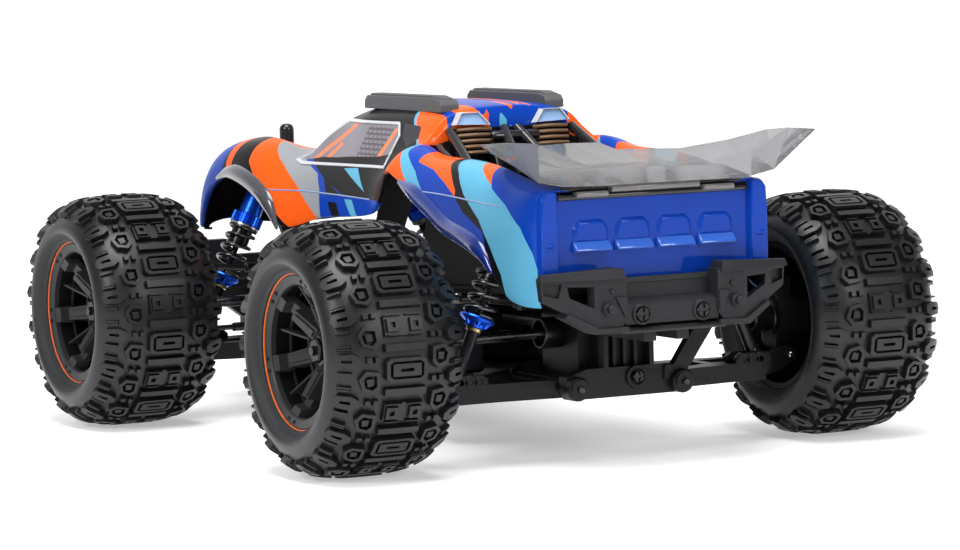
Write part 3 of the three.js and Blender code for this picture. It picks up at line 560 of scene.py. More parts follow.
# The colour bands on each side run from the front of the truck to the back. Each colour starts
# behind a line of (z, x) points, in millimetres.
NOSE_COLOR = BLUE
BANDS = [
    (BLACK, [(70, 129), (112, 130), (120, 132), (131, 128)]),
    (ORANGE, [(70, 119), (110, 119.5), (113, 125), (122, 128.4), (131, 127.8)]),
    (BLACK, [(70, 118.6), (110, 118.8), (114, 119), (122, 121.9), (131, 120.7)]),
    (ORANGE, [(70, 60), (93.5, 70.5), (105, 84.7), (114, 94.2), (123.4, 105), (133, 106.1)]),
    (GREY, [(70, 40), (98, 49), (105, 57.2), (113, 66.6), (125, 85.7), (133, 96.6)]),
    (BLUE, [(70, 46), (102.5, 46.1), (112, 46.6), (119, 51), (125.6, 72.8), (135, 89.7)]),
    (BLACK, [(70, 36), (98, 38), (111, 39.9), (117, 43.1), (125.8, 64.6), (131.6, 79.1)]),
    (ORANGE, [(70, -36), (112, -41), (124, -42), (140, -42)]),
    (LIGHT_BLUE, [(70, -116), (101, -95), (108, -84), (116, -73.7), (125, -61.1), (133, -51.6), (140, -47)]),
    (BLUE, [(70, -119), (100.6, -97.7), (109, -90.7), (116.6, -83.6), (125.5, -72.1), (133.4, -56.1),
            (140, -50)]),
    (ORANGE, [(70, -157), (102.5, -140.6), (110, -122.5), (116, -113.4), (121.3, -102.4), (126.6, -87.7),
              (129.4, -70.4), (140, -64)]),
    (BLACK, [(70, -157), (102.5, -140.6), (109.7, -122.4), (116, -113.3), (118.8, -112.8), (125.3, -104.7),
             (130.4, -96.5), (140, -92)]),
    (LIGHT_BLUE, [(70, -160.3), (84.7, -155.9), (96.6, -147.4), (107.5, -136.8), (117.4, -120.7),
                  (125.7, -110.6), (131, -101.3), (140, -94)]),
    (ORANGE, [(70, -186), (94.5, -178.6), (105.5, -171.5), (114.3, -158.5), (123, -137.7), (131, -117.3),
              (140, -104)]),
    (BLUE, [(70, -184), (94.5, -177), (105.5, -170), (114.3, -157), (120.5, -142), (125.6, -136.2),
            (131, -128.2), (140, -118)]),
]
PAINT_X = (-210.0, 190.0)  # ranges that the band curves cover
PAINT_Z = (60.0, 160.0)


def band_line(tree, height, points):
    """x in millimetres of a band's line at a height: a curve of straight stretches."""
    curve = node(tree, "FloatCurve", {"Value": height})
    line = curve.mapping.curves[0]
    steps = [((z - PAINT_Z[0]) / (PAINT_Z[1] - PAINT_Z[0]), (x - PAINT_X[0]) / (PAINT_X[1] - PAINT_X[0]))
             for z, x in points]
    steps = [(0.0, steps[0][1]), *steps, (1.0, steps[-1][1])]
    while len(line.points) < len(steps):
        line.points.new(0.5, 0.5)
    for point, place in zip(line.points, steps):
        point.location = place
        point.handle_type = "VECTOR"
    curve.mapping.update()
    return curve.outputs["Value"]


def compare(tree, first, second, operation="LESS_THAN"):
    return node(tree, "Math", {0: first, 1: second}, operation=operation).outputs["Value"]


def above(tree, first, second):
    return compare(tree, first, second, "GREATER_THAN")


def product(tree, *values):
    total = values[0]
    for value in values[1:]:
        total = compare(tree, total, value, "MULTIPLY")
    return total


def anticlockwise(points):
    """A closed outline with its points in anticlockwise order."""
    area = sum(a[0] * b[1] - b[0] * a[1] for a, b in zip(points, points[1:] + points[:1]))
    return points if area > 0 else points[::-1]


def inside(tree, across, up, polygon):
    """1 inside a convex polygon of (across, up) points in millimetres, 0 outside it."""
    polygon = anticlockwise(polygon)
    plane = node(tree, "CombineXYZ", {"X": across, "Y": up, "Z": 1.0}).outputs["Vector"]
    masks = []
    for (x0, y0), (x1, y1) in zip(polygon, polygon[1:] + polygon[:1]):
        line = (-(y1 - y0), x1 - x0, (y1 - y0) * x0 - (x1 - x0) * y0)
        side = node(tree, "VectorMath", {0: plane}, operation="DOT_PRODUCT")
        side.inputs[1].default_value = line
        masks.append(above(tree, side.outputs["Value"], 0.0))
    return product(tree, *masks)


SIDE_WINDOW = [(77.7, 124.4), (71, 122.5), (-18.8, 123.9), (-21.4, 138.6), (-15.5, 144.6), (43, 144.2)]
QUARTER_WINDOW = [(-24, 138.5), (-33, 134), (-40.5, 138), (-37, 143.2), (-20, 144.4)]
WINDOW_NET = [(18, 124), (14, 142), (-12, 142), (-4, 124)]
WINDOW_BARS = (
    [(66, 124), (60, 124), (27, 142.5), (32, 142.5)],
    [(52, 124), (48, 124), (36, 133), (39, 134)],
    [(-1, 124), (-5.5, 124), (-17, 141), (-14, 142)],
)
DOOR_SHAPES = (
    ([(45, 118.4), (30, 113), (-12, 101), (20, 108.5)], BLUE),
    ([(46, 109.5), (-18, 109.5), (-24, 96), (46, 96)], BLUE),
    ([(38, 106.5), (31, 94), (22, 94), (29, 106.5)], BLACK),
    ([(20, 108.5), (10, 96), (4, 96), (12, 108.5)], LIGHT_BLUE),
    ([(25, 122.4), (-1.5, 112.6), (10.7, 123.2)], LIGHT_BLUE),
)
CAB_CORNER = [(-49, 132), (-60, 132), (-60, 152), (-20, 152)]
CORNER_LINE = 2.2  # width of the light blue line in front of the cab's rear corner
BAR_ORANGE = (0.8, 0.2, 0.08)
WINDOW_LIGHT = (0.27, 0.25, 0.28)
QUARTER_BLACK = (0.03, 0.03, 0.036)
SCREEN_GREY = (0.05, 0.055, 0.07)


def painted_bands(tree, x, z):
    def share(value, low, high):
        return node(tree, "MapRange", {"Value": value, "From Min": low, "From Max": high}).outputs["Result"]
    height, length = share(z, *PAINT_Z), share(x, *PAINT_X)
    color = NOSE_COLOR
    for band, points in BANDS:
        color = mixed(tree, compare(tree, length, band_line(tree, height, points)), color, band)
    return color


def painted_door(tree, x, z, color):
    """A light blue flash and blue diagonals on the black door."""
    door = product(tree, compare(tree, x, 40.0), above(tree, x, -28.0))
    for shape, shade in DOOR_SHAPES:
        color = mixed(tree, product(tree, inside(tree, x, z, shape), door), color, shade)
    return color


def painted_roof(tree, x, z, out):
    """The cab is black; its roof is blue with orange and light blue flames."""
    roof = product(tree, above(tree, z, 142.0), compare(tree, out, 31.0), compare(tree, x, 20.0))
    flame = noise(tree, 30, 3, (0.35, 2.2, 1))
    color = mixed(tree, roof, BLACK, BLUE)
    color = mixed(tree, product(tree, roof, above(tree, flame, 0.57)), color, ORANGE)
    return mixed(tree, product(tree, roof, compare(tree, flame, 0.4)), color, LIGHT_BLUE)


def window_picture(tree, x, z):
    """Cloudy grey glass with a woven net in its rear part and orange bars."""
    glass = mixed(tree, noise(tree, 26, 2, (1, 1, 0.4)), WINDOW_GREY, WINDOW_LIGHT)
    flat = node(tree, "CombineXYZ", {"X": x, "Y": z, "Z": 0.0}).outputs[0]
    brick = node(tree, "TexBrick", {"Vector": flat, "Scale": 0.11, "Mortar Size": 0.055,
                                    "Color1": (1, 1, 1, 1), "Color2": (0.9, 0.9, 0.9, 1),
                                    "Mortar": (0.3, 0.3, 0.3, 1)})
    share = product(tree, inside(tree, x, z, WINDOW_NET), 0.75)
    color = node(tree, "Mix", {0: share, 6: glass, 7: brick.outputs["Color"]}, data_type="RGBA",
                 blend_type="MULTIPLY").outputs[2]
    for bar in WINDOW_BARS:
        color = mixed(tree, inside(tree, x, z, bar), color, BAR_ORANGE)
    return color


def painted_cab(tree, x, z, out):
    color = painted_roof(tree, x, z, out)
    side_panel = above(tree, out, 31.0)
    for shift, shade in ((CORNER_LINE, LIGHT_BLUE), (0, ORANGE)):
        corner = [(px + shift, pz) for px, pz in CAB_CORNER]
        color = mixed(tree, product(tree, side_panel, inside(tree, x, z, corner)), color, shade)
    off_roof = above(tree, out, 32.5)
    for window, shade in ((SIDE_WINDOW, window_picture(tree, x, z)), (QUARTER_WINDOW, QUARTER_BLACK)):
        color = mixed(tree, product(tree, off_roof, inside(tree, x, z, window)), color, shade)
    screen = product(tree, compare(tree, out, 28.0), compare(tree, z, 146.0), above(tree, x, 47.0))
    return mixed(tree, screen, color, SCREEN_GREY)


def body_paint():
    """The livery: bands along the sides, the door's shapes, the cab, and a black floor behind it."""
    paint, tree, shader = material("body_paint", BLUE, 0.35, Specular_IOR_Level=0.02, Coat_Weight=0.24,
                                  Coat_Roughness=0.03)
    split = node(tree, "SeparateXYZ", {"Vector": object_coordinates(tree)}).outputs
    x, y, z = (compare(tree, split[axis], 1000.0, "MULTIPLY") for axis in "XYZ")
    out = node(tree, "Math", {0: y}, operation="ABSOLUTE").outputs["Value"]
    color = painted_door(tree, x, z, painted_bands(tree, x, z))
    cab = product(tree, above(tree, z, 122.2), compare(tree, out, 45.2), compare(tree, x, 78.0),
                  above(tree, x, -54.0))
    color = mixed(tree, cab, color, painted_cab(tree, x, z, out))
    floor = product(tree, compare(tree, out, 40.5), compare(tree, x, -49.5), above(tree, x, -184.0))
    color = mixed(tree, floor, color, BLACK)
    tree.links.new(color, shader.inputs["Base Color"])
    bumped(tree, shader, noise(tree, 160, 2), 0.05, 0.3)
    return paint


PAINT = body_paint()
GLOSS_BLUE = grained("tailgate_paint", (0.002, 0.036, 0.30), 0.3, 160, 0.03, 0.03, lighter=1.25,
                     Coat_Weight=0.3, Coat_Roughness=0.03, Specular_IOR_Level=0.05)
# Lighter blue on the sloped lower lips of the tailgate's windows: the lips are real, and their lighter blue
# is painted highlight of the light from above.
LIP_HIGHLIGHT_BLUE = grained("window_lip_painted_highlight", (0.02, 0.09, 0.42), 0.2, 160, 0.03, 0.03, lighter=1.3, Coat_Weight=1.0)
ARCH_BLUE = grained("arch_blue", (0.004, 0.022, 0.17), 0.2, 200, 0.03, 0.04, lighter=1.3, Coat_Weight=1.0)
ARCH_GREY = grained("arch_grey", (0.05, 0.052, 0.06), 0.2, 200, 0.03, 0.04, lighter=1.5, Coat_Weight=1.0)
GLOSS_BLACK = grained("gloss_black_shell", BLACK, 0.25, 200, 0.05, 0.05, lighter=2.0, Coat_Weight=0.6)
INSIDE_BLACK = grained("body_inside", (0.003, 0.003, 0.0035), 0.5, 300, 0.1, 0.1, Specular_IOR_Level=0.12)
SCOOP_BLUE = grained("scoop_paint", (0.20, 0.33, 0.55), 0.25, 200, 0.04, 0.05, lighter=1.5, Coat_Weight=1.0)
BRONZE = grained("louvre_bronze", (0.20, 0.125, 0.075), 0.35, 500, 0.08, 0.1, metallic=0.5, lighter=1.4)
# Light blue on thin beads along the body's creases: the beads are real, and their lighter blue is a painted
# highlight along each crease.
CREASE_HIGHLIGHT_BLUE = grained("crease_highlight", (0.16, 0.24, 0.42), 0.2, 300, 0.04, 0.05, lighter=1.4,
                      Coat_Weight=0.6)
SKID_GREY = grained("roof_skid", (0.075, 0.076, 0.08), 0.6, 1300, 0.4, 0.1, lighter=1.3)
# Grey on the tail ledge's middle bar and grips: painted reflection of white on glossy black.
LEDGE_REFLECTION_GREY = grained("ledge_painted_reflection", (0.12, 0.115, 0.11), 0.25, 300, 0.05, 0.08, lighter=1.5, Coat_Weight=0.6)
# Light grey on the window frames and the scoops' rims: painted reflection of white along glossy edges.
RIM_REFLECTION_GREY = grained("rim_painted_reflection", (0.45, 0.46, 0.49), 0.15, 300, 0.04, 0.05, lighter=1.2, Coat_Weight=1.0)


def smoked_clear():
    """Thin smoked sheet: mostly clear, and it hardly bends the light. The little milky grey it has is painted
    sheen, for the film's reflection of white over the dark deck.
    """
    made, tree, shader = material("smoked_clear", (0.36, 0.36, 0.37), 0.03, Transmission_Weight=0.70,
                                  IOR=1.03, Coat_Weight=0.22, Coat_Roughness=0.06)
    tree.links.new(ranged(tree, noise(tree, 60, 3), 0.01, 0.05), shader.inputs["Roughness"])
    tint = mixed(tree, noise(tree, 18, 2), (0.33, 0.33, 0.34), (0.38, 0.38, 0.39))
    tree.links.new(tint, shader.inputs["Base Color"])
    return made


SMOKED = smoked_clear()

# ---------------------------------------------------------------- body shell
# Half sections from the middle of the body to its bottom edge, front to rear: x, then (y, z) points.
SECTIONS = [
    (171, [(0, 88), (14, 88.4), (28, 89.5), (37, 92), (44, 91.5), (49, 90.5), (51, 89.5), (52, 88.5),
           (52, 88), (52, 87.5)]),
    (174, [(0, 96), (14, 96.5), (28, 99), (37, 99), (44, 98.5), (50, 97), (53, 94), (55, 91.5), (55.5, 89),
           (55.5, 87.5)]),
    (170, [(0, 109), (14, 109), (28, 109), (37, 110), (45, 110), (51.5, 108), (55, 103), (57, 97), (58, 92),
           (58, 88)]),
    (161, [(0, 116), (14, 116), (27, 116), (38, 118.5), (46, 120), (54, 118), (58.5, 113), (60.5, 106),
           (61, 99), (61, 94)]),
    (151, [(0, 120.5), (14, 120.5), (26, 120.5), (37, 124.5), (46, 127.5), (54, 126), (59, 121), (61.3, 115),
           (61.8, 110), (61.8, 107)]),
    (138, [(0, 123.5), (14, 123.5), (26, 123.5), (36, 128.5), (45, 132), (54, 130.5), (59.5, 125.5),
           (61.5, 119.5), (62, 116), (62, 113.5)]),
    (122, [(0, 125.5), (14, 125.5), (26, 125.5), (36, 130.5), (45, 134.2), (54, 132.7), (59.5, 127.5),
           (61.5, 121.5), (62, 118), (62, 115.8)]),
    (104, [(0, 127.5), (14, 127.5), (26, 127.5), (36, 131.5), (45, 134.7), (53.5, 132.7), (59, 126.7),
           (61.5, 119.3), (62, 115.5), (62, 112.7)]),
    (91, [(0, 128.5), (14, 128.5), (28, 128), (38, 129.5), (45, 132), (53, 129), (58, 122), (60.5, 114.5),
           (61, 110.5), (61, 107)]),
    (83, [(0, 130), (14, 130), (30, 128.5), (40, 126.8), (46, 126.8), (52.5, 123.8), (57, 117), (59.5, 109.5),
           (60, 104), (60, 100.6)]),
    (77, [(0, 132.5), (14, 132.3), (31, 130), (40, 125.6), (46, 125.2), (52, 121.3), (56, 114), (58.5, 106),
           (59, 98), (59, 92)]),
    (68, [(0, 137.5), (14, 137), (33, 136), (41, 129.4), (46, 124), (50.5, 118.7), (53.5, 111), (55, 104),
           (55.5, 98), (55.5, 93)]),
    (54, [(0, 146), (14, 145.5), (34, 144.2), (40.6, 137), (46.7, 123.6), (49.5, 118), (50.8, 111),
           (51.2, 106), (51.2, 101), (51, 97.5)]),
    (40, [(0, 151.4), (16, 150.7), (32, 147.1), (37.5, 140), (47, 123.5), (49.5, 117.6), (50.5, 111.2),
           (50.5, 106), (50.5, 102), (50.3, 98.8)]),
    (26, [(0, 152.9), (16, 152.3), (32, 149.6), (37.5, 145.2), (47.2, 123.4), (49.6, 117.4), (50.5, 111.2),
           (50.5, 106), (50.5, 102.5), (50.3, 99.5)]),
    (4, [(0, 153.4), (16, 152.9), (32, 150.4), (37.5, 145.6), (47.4, 123.3), (49.8, 117.2), (50.5, 111.2),
           (50.6, 106), (50.6, 103), (50.4, 100.8)]),
    (-12, [(0, 153.4), (16, 152.9), (32, 150.4), (37.5, 145.6), (47.8, 123.5), (50.3, 117.6), (51, 112),
           (51.3, 108), (51.3, 105), (51.2, 103)]),
    (-24, [(0, 153.2), (16, 152.7), (32, 150.3), (37.5, 145.2), (48.4, 126), (51.8, 121), (53, 117.5),
           (53.6, 115), (53.8, 113.5), (53.8, 112.2)]),
    (-36, [(0, 152.8), (16, 152.3), (32, 150), (37.5, 144.4), (46.5, 130.5), (53.5, 127.5), (56, 124.5),
           (57.3, 122.5), (57.8, 121.2), (58, 120.2)]),
    (-45, [(0, 152.2), (16, 151.7), (32, 149.4), (37, 143.9), (44.5, 134.2), (53, 132.5), (57.3, 129.5),
           (59.6, 127), (60.4, 125.6), (60.8, 124.4)]),
    (-48.5, [(0, 151.2), (16, 150.8), (32, 148.2), (37, 141.9), (44.5, 135.5), (53, 134.3), (57.8, 130.8),
           (60.3, 127.6), (61.2, 125.6), (61.6, 124.2)]),
    (-51, [(0, 121), (14, 121), (29, 121), (37, 124.5), (44.6, 136.4), (53, 135.2), (58, 131.2),
           (60.6, 127.2), (61.5, 124.8), (61.8, 123.2)]),
    (-60, [(0, 117), (14, 117), (29, 117.5), (38, 124), (45, 136), (53, 135), (58.3, 130.3), (61, 124.8),
           (61.9, 122), (62, 120)]),
    (-71, [(0, 116), (14, 116), (29, 116.5), (38.5, 123), (45.5, 132), (53.3, 132), (58.7, 127.7),
           (61.3, 121.3), (62, 117.8), (62, 115.3)]),
    (-87, [(0, 116), (14, 116), (29, 116.5), (38.5, 122.5), (46, 131.6), (54, 131.2), (59.2, 126),
           (61.5, 118.2), (62, 112.3), (62, 108.8)]),
    (-106, [(0, 117), (14, 117), (29, 117.5), (38.5, 123), (46.6, 131.5), (54.5, 130.3), (59.6, 124),
           (61.8, 116), (62.3, 106), (62.6, 100.8)]),
    (-124, [(0, 119), (14, 119), (29, 119.5), (38.5, 123.5), (46.8, 130.4), (55, 128.6), (60, 121),
           (61.9, 113), (63.1, 103), (63.6, 97)]),
    (-140, [(0, 120.5), (14, 120.5), (29, 120.5), (38.5, 123), (46.8, 128), (55, 126), (60, 118), (62.2, 109),
           (63.4, 98), (63.8, 92)]),
    (-149, [(0, 121), (14, 121), (29, 121), (38.5, 122.5), (47.6, 125.8), (55.5, 123.9), (60.2, 115.8),
           (62.2, 105.5), (63.1, 92), (63.3, 85)]),
    (-156, [(0, 121), (14, 121), (29, 121), (38.5, 122), (48.5, 124.2), (55.8, 122.4), (60.1, 114.5),
           (61.7, 104), (62, 88), (62, 74)]),
    (-168, [(0, 121), (14, 121), (29, 121), (39, 121.6), (49.6, 122.6), (56.2, 121.3), (59.3, 115),
           (60.6, 105), (61, 94), (61, 71.5)]),
    (-175, [(0, 120.8), (14, 120.8), (29, 120.8), (40, 121.2), (50, 121.8), (55.6, 121), (57.8, 117),
           (58.5, 107), (58.8, 95), (58.8, 71)]),
    (-178.8, [(0, 120.4), (14, 120.4), (29, 120.4), (40, 120.8), (49.5, 121.2), (54.4, 120.6), (56.2, 117.5),
           (56.6, 108), (56.8, 96), (56.8, 71)]),
]
# Sharpness of the edges that run lengthways, by point of the half section, and of whole sections by number.
CREASES = {3: 0.75, 4: 0.7, 7: 0.35}
SHARP_SECTIONS = {20: 0.9, 21: 0.8, 32: 0.9}
SHELL = 1.0  # thickness of the body


def body_shell(bm):
    crease = bm.edges.layers.float.new("crease_edge")
    rows = []
    for x, half in SECTIONS:
        last_y, last_z = half[-1]
        points = half + [(last_y - 2.6, last_z + 0.4)]
        whole = [(-y, z) for y, z in reversed(points[1:])] + points
        rows.append(loop(bm, [(x, y, z) for y, z in whole]))
    middle = len(rows[0]) // 2
    for first, second in zip(rows, rows[1:]):
        bridge(bm, first, second, closed=False)
    for first, second in zip(rows, rows[1:]):
        for column, amount in CREASES.items():
            for side in (1, -1):
                edge = bm.edges.get((first[middle + side * column], second[middle + side * column]))
                edge[crease] = amount
    for row, amount in SHARP_SECTIONS.items():
        for a, b in zip(rows[row], rows[row][1:]):
            bm.edges.get((a, b))[crease] = amount


def build_body():
    made = shown("painted_body", body_shell, PAINT, INSIDE_BLACK, body="body", smooth=180, subdivide=2,
                 slot="body_paint")
    shell = thickened(made, SHELL)
    shell.material_offset = 1
    shell.material_offset_rim = 0
    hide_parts("body_shell")


ARCHES = {  # piece: (the stretch of x that its rolled edges cover, finish)
    "front_arch_edges": ((76, 138), ARCH_GREY),
    "rear_arch_edges": ((-150, -58), ARCH_BLUE),
}


def arch_edge(bm, low, high, side):
    """A rolled band along the shell's bottom edge, thinning out at both ends."""
    edge = [(x, half[-1][0], half[-1][1]) for x, half in SECTIONS if low <= x <= high]
    spots = [Vector(spot) for spot in smooth_path(edge, 4)]
    section = [(-0.9, -1.0), (1.2, -1.5), (2.3, -0.4), (2.1, 3.2), (1.2, 5.8), (-0.9, 6.4)]
    last = len(spots) - 1
    rings = []
    for k, spot in enumerate(spots):
        along = spots[min(k + 1, last)] - spots[max(k - 1, 0)]
        inwards = Vector((along.z, 0, -along.x)).normalized()
        size = min(1.0, 0.25 + min(k, last - k) / 7)
        ring = []
        for out, up in section:
            place = spot + inwards * up * size
            ring.append((place.x, side * (place.y + out * size), place.z))
        rings.append(loop(bm, ring if side > 0 else ring[::-1]))
    skinned(bm, rings)


def build_arches():
    for name, ((low, high), finish) in ARCHES.items():
        def edges(bm):
            for side in (1, -1):
                arch_edge(bm, low, high, side)
        shown(name, edges, finish, body="body", smooth=60, slot="body_paint")


TAIL_X = -179.2
WINDOW_STEP = 20.4


def mirrored(points, side):
    """An outline on the left, or its mirror image on the right that goes round the same way."""
    return points if side > 0 else [(-y, z) for y, z in reversed(points)]


def tailgate(bm):
    """The panel between the tail's two pillars, with its row of four pressed windows."""
    def place(y, z, h):
        return (TAIL_X - h, y, z)
    panel = [(-56.3, 82), (-24, 82), (-24, 76), (24, 76), (24, 82), (56.3, 82), (56.0, 117), (-56.0, 117)]
    prism(bm, panel, -2.4, -0.9, place)
    pillar = [(46.4, 83), (56.6, 83), (56.5, 108), (56.0, 118), (53.6, 121.2), (49.2, 121.8), (46.8, 120.4)]
    bump = [(49.4, 96.3), (54.0, 96.3), (54.0, 99.2), (49.4, 99.2)]
    for side in (1, -1):
        prism(bm, mirrored(pillar, side), -1.2, 2.2, place, 1.1)
        prism(bm, mirrored(bump, side), 1.8, 3.0, place, 0.8)
    arch = [(-8.6, 97.6), (8.6, 97.6), (8.9, 100), (8.6, 104.8), (6.0, 108), (-6.0, 108), (-8.6, 104.8),
            (-8.9, 100)]
    # the wedge under each window is its sloped lower lip, in the lighter blue of painted highlight
    wedge = [(-178.6, 94.0), (-182.2, 94.4), (-182.2, 95.4), (-179.2, 98.6), (-178.0, 98.6)]
    for k in range(4):
        middle = (k - 1.5) * WINDOW_STEP
        prism(bm, [(middle + y, z) for y, z in arch], -1.2, 0.35, place, 1.4)
        prism(bm, wedge, middle - 8.8, middle + 8.8, across_y, slot=1)


def deck(bm):
    """The black ledge over the tailgate, its two grips and the dark deck in front of them. The ledge's middle
    bar and the grips are grey: painted reflection of white on their glossy black.
    """
    def ledge(y0, y1, z0, z1, x, slot):
        outline = [(x + 5, z0), (x + 5, z1 - 0.3), (x + 0.8, z1), (x, z1 - 0.7), (x, z0 + 0.6),
                   (x + 0.7, z0)]
        prism(bm, outline, y0, y1, across_y, slot=slot)
    ledge(-21.6, 21.6, 119.0, 121.9, -182.6, 1)
    ledge(-46.6, 46.6, 116.2, 118.8, -180.0, 0)
    for side in (1, -1):
        ledge(*sorted((side * 23.4, side * 38.6)), 117.4, 120.0, -182.8, 1)
        ledge(*sorted((side * 22.4, side * 44.6)), 120.3, 121.6, -180.2, 0)


def build_tailgate():
    shown("tailgate", tailgate, GLOSS_BLUE, LIP_HIGHLIGHT_BLUE, body="body", bevel=0.6, slot="body_paint")
    shown("deck_ledge", deck, GLOSS_BLACK, LEDGE_REFLECTION_GREY, body="body", bevel=0.5, slot="body_paint")


# ---------------------------------------------------------------- wing
WING_SHEET = 0.5  # thickness of the clear sheet
WING_LINES = [  # the left half of the wing, front edge, fold and rear edge
    [(-106, 0, 136.2), (-106, 15, 135.8), (-109, 23, 132.6), (-127, 44, 132.6), (-143, 59, 136.2),
     (-157, 70.6, 140.6)],
    [(-150, 0, 128.4), (-150, 15, 128.4), (-151, 27, 127.8), (-157, 46, 127.6), (-164, 58.6, 131.6),
     (-176, 70, 142)],
    [(-185, 0, 122.7), (-185, 15, 122.7), (-185, 28, 122.6), (-184, 46, 123.0), (-184, 57.5, 125.2),
     (-202, 67.4, 142.4)],
]


def wing(bm):
    rows = [loop(bm, [(x, -y, z) for x, y, z in reversed(half[1:])] + half) for half in WING_LINES]
    for first, second in zip(rows, rows[1:]):
        bridge(bm, first, second, closed=False)
    bmesh.ops.triangulate(bm, faces=bm.faces)


def build_wing():
    made = shown("clear_wing", wing, SMOKED, body="body", smooth=4, slot="smoked_clear")
    thickened(made, WING_SHEET)
    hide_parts("wing")


build_body()
build_arches()
build_tailgate()
build_wing()

# ---------------------------------------------------------------- moulded pieces
def plate(bm, outline, holes, low, high, place, slot=0):
    """A flat outline with holes, raised from low to high."""
    rings = [outline, *holes]
    triangles = tessellate_polygon([[Vector((a, b, 0)) for a, b in ring] for ring in rings])
    levels = [[loop(bm, [place(a, b, h) for a, b in ring]) for ring in rings] for h in (low, high)]
    for level in levels:
        verts = [vert for ring in level for vert in ring]
        for corners in triangles:
            bm.faces.new([verts[i] for i in corners]).material_index = slot
    for first, second in zip(*levels):
        bridge(bm, first, second, slot=slot)


def block(bm, x, y, z, slot=0):
    """A box between two x, two y and two z values, for the bevel to round."""
    prism(bm, [(y[0], z[0]), (y[1], z[0]), (y[1], z[1]), (y[0], z[1])], x[0], x[1], across_x, slot=slot)


NYLON_EDGES = {  # CAD nodes of black nylon: name start, edge radius
    "lower_arm": 0.7, "caster": 0.6, "knuckle": 0.6, "rear_hub": 0.6, "front_gearbox": 0.9,
    "rear_gearbox": 0.9, "front_shock_tower": 0.5, "rear_shock_tower": 0.5, "chassis_tub": 0.5,
    "steering_link": 0.6, "servo_horn": 0.6, "spur_gear": 0.0,
}
# Nodes whose flat faces only need round edges: name start, then material, edge radius and slot. The servo's
# horn starts with the servo's name, so it is made in both finishes.
MOULDED = {start: (NYLON, edge, "black_plastic") for start, edge in NYLON_EDGES.items()}
MOULDED.update({
    "front_bumper": (BUMPER_PLASTIC, 0.9, "textured_plastic"),
    "servo": (SERVO_CASE, 0.6, "electronics_case"),
    "speed_controller": (SERVO_CASE, 1.2, "electronics_case"),
    "battery": (SHRINK_WRAP, 2.0, "battery_wrap"),
    "pinion_gear": (STEEL, 0.0, "steel"),
})


def rounded(cad_node, finish, bevel, slot):
    """The CAD node's own shape, with whole flat faces and round edges."""
    bm = bmesh.new()
    bm.from_mesh(frame["nodes"][cad_node].data)
    bmesh.ops.scale(bm, vec=(1 / MM, 1 / MM, 1 / MM), verts=bm.verts)
    bmesh.ops.remove_doubles(bm, verts=bm.verts, dist=1e-3)
    bmesh.ops.dissolve_limit(bm, angle_limit=math.radians(1), verts=bm.verts, edges=bm.edges)
    mesh = bpy.data.meshes.new(cad_node)
    bm.to_mesh(mesh)
    bm.free()
    body = frame["nodes"][cad_node]["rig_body"]
    made = shown(cad_node + "_moulded", mesh, finish, body=body, bevel=bevel, smooth=35, slot=slot)
    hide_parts(cad_node)


def build_moulded():
    for cad_node in sorted(frame["nodes"]):
        for start, looks in MOULDED.items():
            if cad_node.startswith(start):
                rounded(cad_node, *looks)


# ---------------------------------------------------------------- suspension and drive
SHOCK_X = 136
SHOCK_TOPS = {"front": (36, 116), "rear": (42, 116)}
SHOCK_EYE = (75, 38)
COLLAR = (24, 29)  # distances along a shock from its top eye
SHOCK_BODY_END = 39.5
SHOCK_BORE = 1.9
SPRING_CUP = (55, 59)
SPRING_RADIUS = 6.5
SPRING_WIRE = 0.92
SPRING_TURNS = 5.2


def eye_ring(bm, origin, radius, half_width, bore, slot=0):
    """A joint eye or ball end that turns about an axis along X."""
    profile = [(bore, -half_width), (radius - 0.6, -half_width), (radius, -half_width + 0.7),
               (radius, half_width - 0.7), (radius - 0.6, half_width), (bore, half_width)]
    turned(bm, profile, origin, (1, 0, 0), 28, "ring", slot)
    ball = [(bore - 0.2, -half_width - 0.9), (bore + 0.5, -half_width - 0.5), (bore + 0.5, half_width + 0.5),
            (bore - 0.2, half_width + 0.9)]
    turned(bm, ball, origin, (1, 0, 0), 20, slot=slot)


def knurled(bm, origin, direction, radius, low, high, teeth, slot=0):
    """A ring whose rim carries straight teeth, with a bore for the rod."""
    turn = towards(direction)
    levels = ((SHOCK_BORE, low), (radius - 1.4, low), (radius, low + 0.6), (radius, high - 0.6),
              (radius - 1.4, high), (SHOCK_BORE, high))
    rings = []
    for reach, distance in levels:
        ring = []
        for i in range(4 * teeth):
            r = reach if i % 4 < 2 or reach == SHOCK_BORE else reach - 0.55
            angle = 2 * math.pi * i / (4 * teeth)
            spot = Vector((r * math.cos(angle), r * math.sin(angle), distance))
            ring.append(turn @ spot + Vector(origin))
        rings.append(loop(bm, ring))
    skinned(bm, rings, slot, ring=True)


